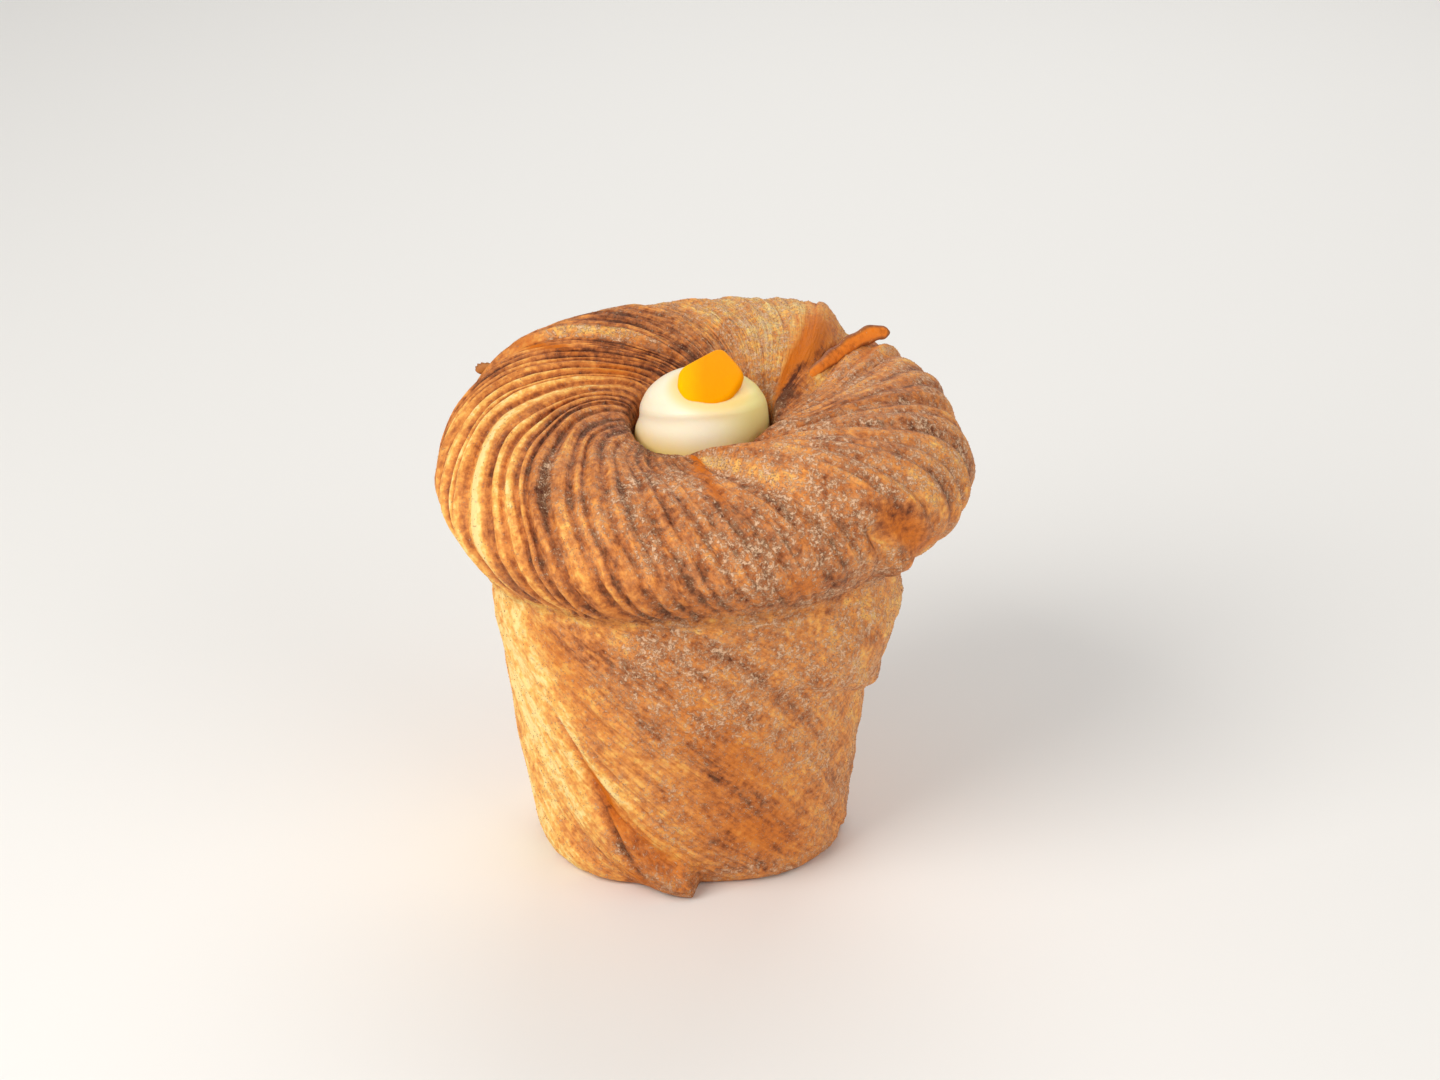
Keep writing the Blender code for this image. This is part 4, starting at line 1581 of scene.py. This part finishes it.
    def laminate_tree(self) -> ShapeWriter:
        """Tree that raises the laminations on the bare skin.

        Returns:
            The tree's writer.
        """
        tree = ShapeWriter("laminate")
        rib_height = tree.take("Rib Height", default=self.rib_height)
        fine_height = tree.take("Fine Layer Height", default=self.fine_layer_height)
        fine_scale = tree.take("Fine Layer Scale", default=self.fine_layer_scale)
        fold_height = tree.take("Fold Height", default=self.fold_height)
        fold_scale = tree.take("Fold Scale", default=self.fold_scale)
        blister_height = tree.take("Blister Height", default=self.blister_height)
        blister_scale = tree.take("Blister Scale", default=self.blister_scale)
        patch_scale = tree.take("Patch Scale", default=self.patch_scale)
        dusting_scale = tree.take("Dusting Scale", default=self.dusting_scale)
        sink = tree.take("Sink", default=self.sink)
        seed = tree.take("Seed", default=float(CRUST_SEED))
        across = tree.attribute("across")
        level, shade = tree.curve(across, self.rib_profile), tree.curve(across, self.rib_shade)
        rib = tree.math("SUBTRACT", level, self.rib_middle)
        soft = tree.math(
            "MULTIPLY_ADD", tree.attribute("ribs"), *self.rib_softness, clamp=True
        )
        rib = tree.product(rib, rib_height, tree.attribute("depth"), soft)
        grain = tree.attribute("grain", "FLOAT_VECTOR")
        layer = tree.noise(grain, fine_scale, detail=3.0, seed=seed, rough=0.62)
        layer = tree.climb(layer, *self.fine_layer_span)
        fine = tree.product(tree.swing(layer, fine_height), tree.attribute("lines"))
        other = tree.math("ADD", seed, 1.0)
        fold = tree.noise(grain, fold_scale, detail=2.0, seed=seed)
        fold = tree.climb(fold, *self.fold_span)
        patches = tree.noise(grain, patch_scale, detail=3.0, seed=other)
        patches = tree.climb(patches, *self.patch_span)
        where = tree.add("GeometryNodeInputPosition").outputs[0]
        dusting = tree.noise(where, dusting_scale, detail=4.0, seed=seed, rough=0.6)
        dusting = tree.climb(dusting, *self.dusting_span)
        blister = tree.noise(where, blister_scale, detail=3.0, seed=seed, rough=0.55)
        rough = tree.total(tree.swing(fold, fold_height), tree.swing(blister, blister_height))
        rough = tree.product(tree.math("SUBTRACT", rough, sink), tree.attribute("bulge"))
        rise = tree.product(tree.total(rib, fine, rough, tree.attribute("rise")), MM)
        outward = tree.attribute("outward", "FLOAT_VECTOR")
        offset = tree.add("ShaderNodeVectorMath", {0: outward, "Scale": rise}, operation="SCALE")
        moved = tree.add(
            "GeometryNodeSetPosition", {"Geometry": tree.geometry, "Offset": offset.outputs[0]}
        )
        kept = moved.outputs[0]
        fields = {
            "crest": level, "shade": shade, "layer": layer, "patches": patches,
            "dusting": dusting,
        }
        for name, value in fields.items():
            kept = tree.store(kept, name, value)
        smooth_skin = tree.add("GeometryNodeSetShadeSmooth", {0: kept})
        tree.close(smooth_skin.outputs[0])
        return tree

    def raise_laminations(self) -> bpy.types.Object:
        """The skin with its laminations, as a plain mesh.

        Returns:
            The pastry's own piece.
        """
        bare = self.bare_skin()
        values = {"Material": self.crust.material(self.effects)}
        mesh = self.laminate_tree().make(bare, values)
        bare.data = mesh
        bare.name = mesh.name = "pastry_skin"
        return bare

    def crystal_tree(self) -> ShapeWriter:
        """Tree that strews sugar crystals over a skin, where it is sugared.

        Returns:
            The tree's writer.
        """
        tree = ShapeWriter("sugar_crystals")
        density = tree.take("Density", default=self.crystal_density / MM**2)
        size = tree.take("Size", default=self.crystal_size * MM)
        lowest = tree.take("Lowest", default=0.0)
        highest = tree.take("Highest", default=self.top_height * MM)
        seed = tree.take("Seed", "Int", 0)
        where = tree.add("GeometryNodeInputPosition").outputs[0]
        height = tree.add("ShaderNodeSeparateXYZ", {0: where}).outputs["Z"]
        inside = tree.product(
            tree.math("GREATER_THAN", height, lowest), tree.math("LESS_THAN", height, highest)
        )
        clump = tree.product(tree.attribute("dusting"), inside)
        thick = tree.product(tree.attribute("sugar"), clump)
        bare = tree.math("SUBTRACT", 1.0, tree.attribute("orange"), clamp=True)
        thick = tree.product(thick, tree.product(bare, density))
        spread = tree.add(
            "GeometryNodeDistributePointsOnFaces",
            {"Mesh": tree.geometry, "Density": thick, "Seed": seed},
            distribute_method="RANDOM",
        )
        cube = tree.add("GeometryNodeMeshCube").outputs["Mesh"]
        turned = tree.add(
            "FunctionNodeRandomValue", {1: (math.tau,) * 3, "Seed": seed}, data_type="FLOAT_VECTOR"
        )
        smallest, largest = ((share,) * 3 for share in self.crystal_spread)
        scale = tree.add(
            "FunctionNodeRandomValue",
            {0: smallest, 1: largest, "Seed": tree.math("ADD", seed, 1.0)},
            data_type="FLOAT_VECTOR",
        )
        sized = tree.add(
            "ShaderNodeVectorMath", {0: scale.outputs[0], "Scale": size}, operation="SCALE"
        )
        strewn = tree.add(
            "GeometryNodeInstanceOnPoints",
            {
                "Points": spread.outputs["Points"], "Instance": cube,
                "Rotation": turned.outputs[0], "Scale": sized.outputs[0],
            },
        )
        tree.close(strewn.outputs[0])
        return tree

    def strew_sugar(self, skin: bpy.types.Object) -> list[bpy.types.Object]:
        """Sugar crystals on the crown and on the body.

        Args:
            skin: The pastry's skin.

        Returns:
            One piece for each.
        """
        tree = self.crystal_tree()
        material = self.sugar.material()
        made = []
        spans = {
            "crown_sugar": (self.crease_height, self.top_height),
            "body_sugar": (self.foot_height, self.crease_height),
        }
        for seed, (name, (low, high)) in zip(CRYSTAL_SEEDS, spans.items()):
            values = {
                "Lowest": low * MM, "Highest": high * MM, "Seed": seed, "Material": material,
            }
            mesh = tree.make(skin, values)
            mesh.name = name
            piece = bpy.data.objects.new(name, mesh)
            bpy.context.scene.collection.objects.link(piece)
            made.append(piece)
        return made

    def build(self) -> None:
        """Make every piece of the pastry."""
        skin = self.raise_laminations()
        sugar = self.strew_sugar(skin)
        finish_piece(skin, "pastry")
        for flake in FLAKES:
            piece = flake.piece(self.form)
            piece.data.materials.append(flake.finish.material(self.effects))
            finish_piece(piece)
        for piece in sugar:
            finish_piece(piece)


@dataclass(frozen=True)
class DoughFlake:
    """A thin torn strip of dough that stands off the skin.

    Each point gives the place on the rings, the lamination line, the mm that it stands proud, and
    the strip's width in mm. Lean is in degrees from the skin's outward direction. Torn is the
    share of its width that comes and goes in waves, and bluntness is how square its ends are.
    """

    name: str
    points: tuple[tuple[float, float, float, float], ...]
    thickness: float
    lean: float
    sides: int = 28
    steps: int = 16
    end: float = 0.985
    bluntness: int = 8
    torn: float = 0.1
    torn_waves: float = 4.6
    end_span: Pair = (0.8, 1.0)
    finish: FlakeFinish = FlakeFinish()

    def piece(self, form: DoughForm) -> bpy.types.Object:
        """Build the strip on the dough.

        Args:
            form: The dough that it stands on.

        Returns:
            The piece, without its material.
        """
        place, line, lift, width = through_points(self.points, self.steps)
        on_skin, outward = form.skin(place, line)
        middle = on_skin + lift[:, None] * outward
        across = np.cross(np.gradient(middle, axis=0), outward)
        across /= np.linalg.norm(across, axis=1)[:, None]
        lean = math.radians(self.lean)
        tall = outward * math.cos(lean) + across * math.sin(lean)
        flat = across * math.cos(lean) - outward * math.sin(lean)
        along = np.linspace(-self.end, self.end, len(place))
        from_middle = np.abs(along)
        torn = 1 + self.torn * np.sin(self.torn_waves * math.pi * along)
        half_width = (torn * width / 2 * np.sqrt(1 - from_middle**self.bluntness))[:, None]
        turn = math.tau / self.sides
        rings = np.stack(
            [
                middle + half_width * math.cos(k * turn) * tall
                - self.thickness / 2 * math.sin(k * turn) * flat
                for k in range(self.sides)
            ],
            axis=1,
        )
        made = closed_tube(self.name, rings)
        edge = np.abs(np.cos(np.arange(self.sides) * turn))
        rim = np.maximum(edge[None], smooth(from_middle, *self.end_span)[:, None])
        give_attribute(made.data, "rim", np.append(rim.ravel(), (1.0, 1.0)))
        return made


FLAKES = (
    DoughFlake(
        "fold_flake",
        (
            (4.6, 63, -1.8, 1.4), (5.8, 57.5, -0.1, 2.4), (6.8, 52.5, 0.7, 2.7),
            (7.6, 47.5, 1.3, 2.8), (8.2, 43.6, 1.9, 2.9),
        ),
        thickness=1.2,
        lean=-30.0,
    ),
    DoughFlake(
        "rim_flake",
        ((8.74, 151.0, 0.0, 1.6), (8.88, 151.2, 1.0, 2.2), (9.0, 151.4, 1.4, 1.3)),
        thickness=0.9,
        lean=-10.0,
        finish=FlakeFinish(inside=(176, 106, 40), rim=(138, 80, 36)),
    ),
)


# --- The filling ---


@dataclass(frozen=True)
class CreamFilling:
    """The cream: a swelling lower tier and a domed upper one, with a soft crease between them.

    The outline gives radius, height and the share of the tilt that each height takes. The crease
    climbs to the front, and is lost on the right.
    """

    centre: Pair = (1.0, 0.3)
    outline: tuple[Triple, ...] = (
        (7.2, 60.3, 0.0), (9.0, 61.4, 0.0), (10.2, 64.0, 0.0), (10.6, 67.0, 0.3),
        (10.5, 69.6, 0.6), (10.3, 71.6, 0.9), (10.1, 73.0, 1.0), (9.85, 74.1, 0.9),
        (9.35, 75.2, 0.7), (8.4, 76.6, 0.4), (6.7, 77.85, 0.15), (4.5, 78.75, 0.0),
        (2.3, 79.2, 0.0), (0.6, 79.3, 0.0),
    )
    tilt: float = 2.4
    tilt_to: float = 290.0
    crease_height: float = 72.9
    crease_depth: float = 0.38
    crease_width: float = 1.3
    crease_ends: Pair = (-28.0, 40.0)
    sides: int = 180
    steps: int = 12
    finish: CreamFinish = CreamFinish()

    def build(self) -> None:
        """Make the cream, closed under and over."""
        columns = through_points(self.outline, self.steps)
        radius, height, share = (column[::-1, None] for column in columns)
        angle = np.arange(self.sides) * math.tau / self.sides
        past = away_from(np.degrees(angle), self.tilt_to)
        fades = 1 - smooth(past, *self.crease_ends)
        crease = np.exp(-(((height - self.crease_height) / self.crease_width) ** 2))
        reach = radius - self.crease_depth * crease * fades
        x = self.centre[0] + reach * np.cos(angle)
        y = self.centre[1] + reach * np.sin(angle)
        z = height + share * self.tilt * np.cos(np.radians(past))
        rings = np.stack((x, y, z), -1)
        piece = closed_tube("cream_filling", rings)
        piece.data.materials.append(self.finish.material())
        finish_piece(piece, "cream")


@dataclass(frozen=True)
class FruitPiece:
    """The cut piece of fruit on the cream's front."""

    face: tuple[Triple, ...] = (
        (3.95, 4.1, 82.39), (-2.6, -0.2, 80.4), (-2.9, -4.4, 78.82), (-1.6, -7.6, 77.7),
        (2.5, -8.5, 77.62), (5.5, -6.9, 78.39), (7.6, -2.6, 80.12), (6.9, -0.5, 80.86),
    )
    corner: float = 1.7
    corner_share: float = 0.45
    corner_steps: int = 6
    rounding: float = 0.8
    rounding_steps: int = 6
    depth: float = 5.0
    foot_inset: float = 1.3
    finish: FruitFinish = FruitFinish()

    def outline(self) -> np.ndarray:
        """The face's outline, in mm, with its corners rounded."""
        corners = np.array(self.face)
        along = np.linspace(0, 1, self.corner_steps)[:, None]
        curves = []
        for number, corner in enumerate(corners):
            sides = corners[number - 1] - corner, corners[(number + 1) % len(corners)] - corner
            shares = (self.corner / np.linalg.norm(side) for side in sides)
            cuts = (min(share, self.corner_share) for share in shares)
            start, end = (corner + cut * side for cut, side in zip(cuts, sides))
            bend = (1 - along) ** 2 * start + 2 * along * (1 - along) * corner + along**2 * end
            curves.append(bend)
        return np.concatenate(curves)

    def build(self) -> None:
        """Make the fruit: its flat face, a rounded rim and sides that draw in to its foot."""
        outline = self.outline()
        middle = outline.mean(axis=0)
        out = np.linalg.svd(outline - middle)[2][2]
        out *= np.sign(out[2])
        inward = middle - outline
        inward /= np.linalg.norm(inward, axis=1)[:, None]
        bends = np.linspace(0, math.pi / 2, self.rounding_steps)
        insets = [*(self.rounding * (1 - np.sin(bends))), self.foot_inset]
        drops = [*(self.rounding * (1 - np.cos(bends))), self.depth]
        rings = [outline + inset * inward - drop * out for inset, drop in zip(insets, drops)]
        piece = closed_tube("fruit_piece", np.stack(rings))
        piece.data.materials.append(self.finish.material())
        finish_piece(piece, "fruit")


# --- The studio ---


@dataclass(frozen=True)
class SoftLight:
    """A square soft light that faces the pastry."""

    name: str
    place: Triple
    size: float
    watts: float
    colour: Triple = (1.0, 1.0, 1.0)

    def build(self, target: Vector) -> None:
        """Hang the light.

        Args:
            target: What it faces.
        """
        data = bpy.data.lights.new(self.name, "AREA")
        data.size, data.energy, data.color = self.size, self.watts, self.colour
        lamp = bpy.data.objects.new(self.name, data)
        place = Vector(self.place)
        turn = (target - place).to_track_quat("-Z", "Y").to_matrix().to_4x4()
        lamp.matrix_world = Matrix.Translation(place) @ turn
        bpy.context.scene.collection.objects.link(lamp)


@dataclass(frozen=True)
class Studio:
    """The plain floor, the soft lights and the camera."""

    lights: tuple[SoftLight, ...] = (
        SoftLight("key_light", (-0.42, -0.38, 0.52), 0.45, 4.2, (1.0, 0.98, 0.95)),
        SoftLight("fill_light", (0.5, -0.45, 0.3), 0.6, 1.8, (1.0, 0.98, 0.96)),
        SoftLight("back_light", (0.1, 0.5, 0.5), 0.5, 1.6),
    )
    floor_half: float = 3.0
    world_strength: float = 0.36
    camera_place: Triple = (0.00377, -0.48529, 0.27727)
    camera_pitch: float = 65.0
    lens: float = 85.0
    sensor: float = 36.0
    floor: FloorFinish = FloorFinish()

    def build(self) -> None:
        """Set the whole studio up."""
        h = self.floor_half
        corners = np.array([(-h, -h, 0), (h, -h, 0), (h, h, 0), (-h, h, 0)])
        floor = mesh_object("floor", corners, [(0, 1, 2, 3)])
        floor.data.materials.append(self.floor.material())
        low, high = CAD_BOX
        for light in self.lights:
            light.build((low + high) / 2)
        self.world()
        self.camera()

    def world(self) -> None:
        """Light the surroundings evenly."""
        world = bpy.data.worlds.new("surroundings")
        world.use_nodes = True
        background = world.node_tree.nodes["Background"]
        background.inputs["Color"].default_value = (1.0, 1.0, 1.0, 1.0)
        background.inputs["Strength"].default_value = self.world_strength
        bpy.context.scene.world = world

    def camera(self) -> None:
        """Put the camera where it looks down on the pastry from the front."""
        data = bpy.data.cameras.new("camera")
        data.lens, data.sensor_width = self.lens, self.sensor
        camera = bpy.data.objects.new("camera", data)
        camera.location = self.camera_place
        camera.rotation_euler = (math.radians(self.camera_pitch), 0.0, 0.0)
        bpy.context.scene.collection.objects.link(camera)
        bpy.context.scene.camera = camera
        bpy.context.scene.view_settings.view_transform = "Standard"


def main() -> None:
    """Build the pastry, its filling and the studio."""
    logging.basicConfig(level=logging.INFO, format="%(name)s: %(message)s")
    Studio().build()
    effects = SharedEffects(BakedDoughEffect().tree(), SugarDustEffect().tree())
    Pastry(DoughForm(), effects).build()
    CreamFilling().build()
    FruitPiece().build()


if __name__ == "__main__":
    main()
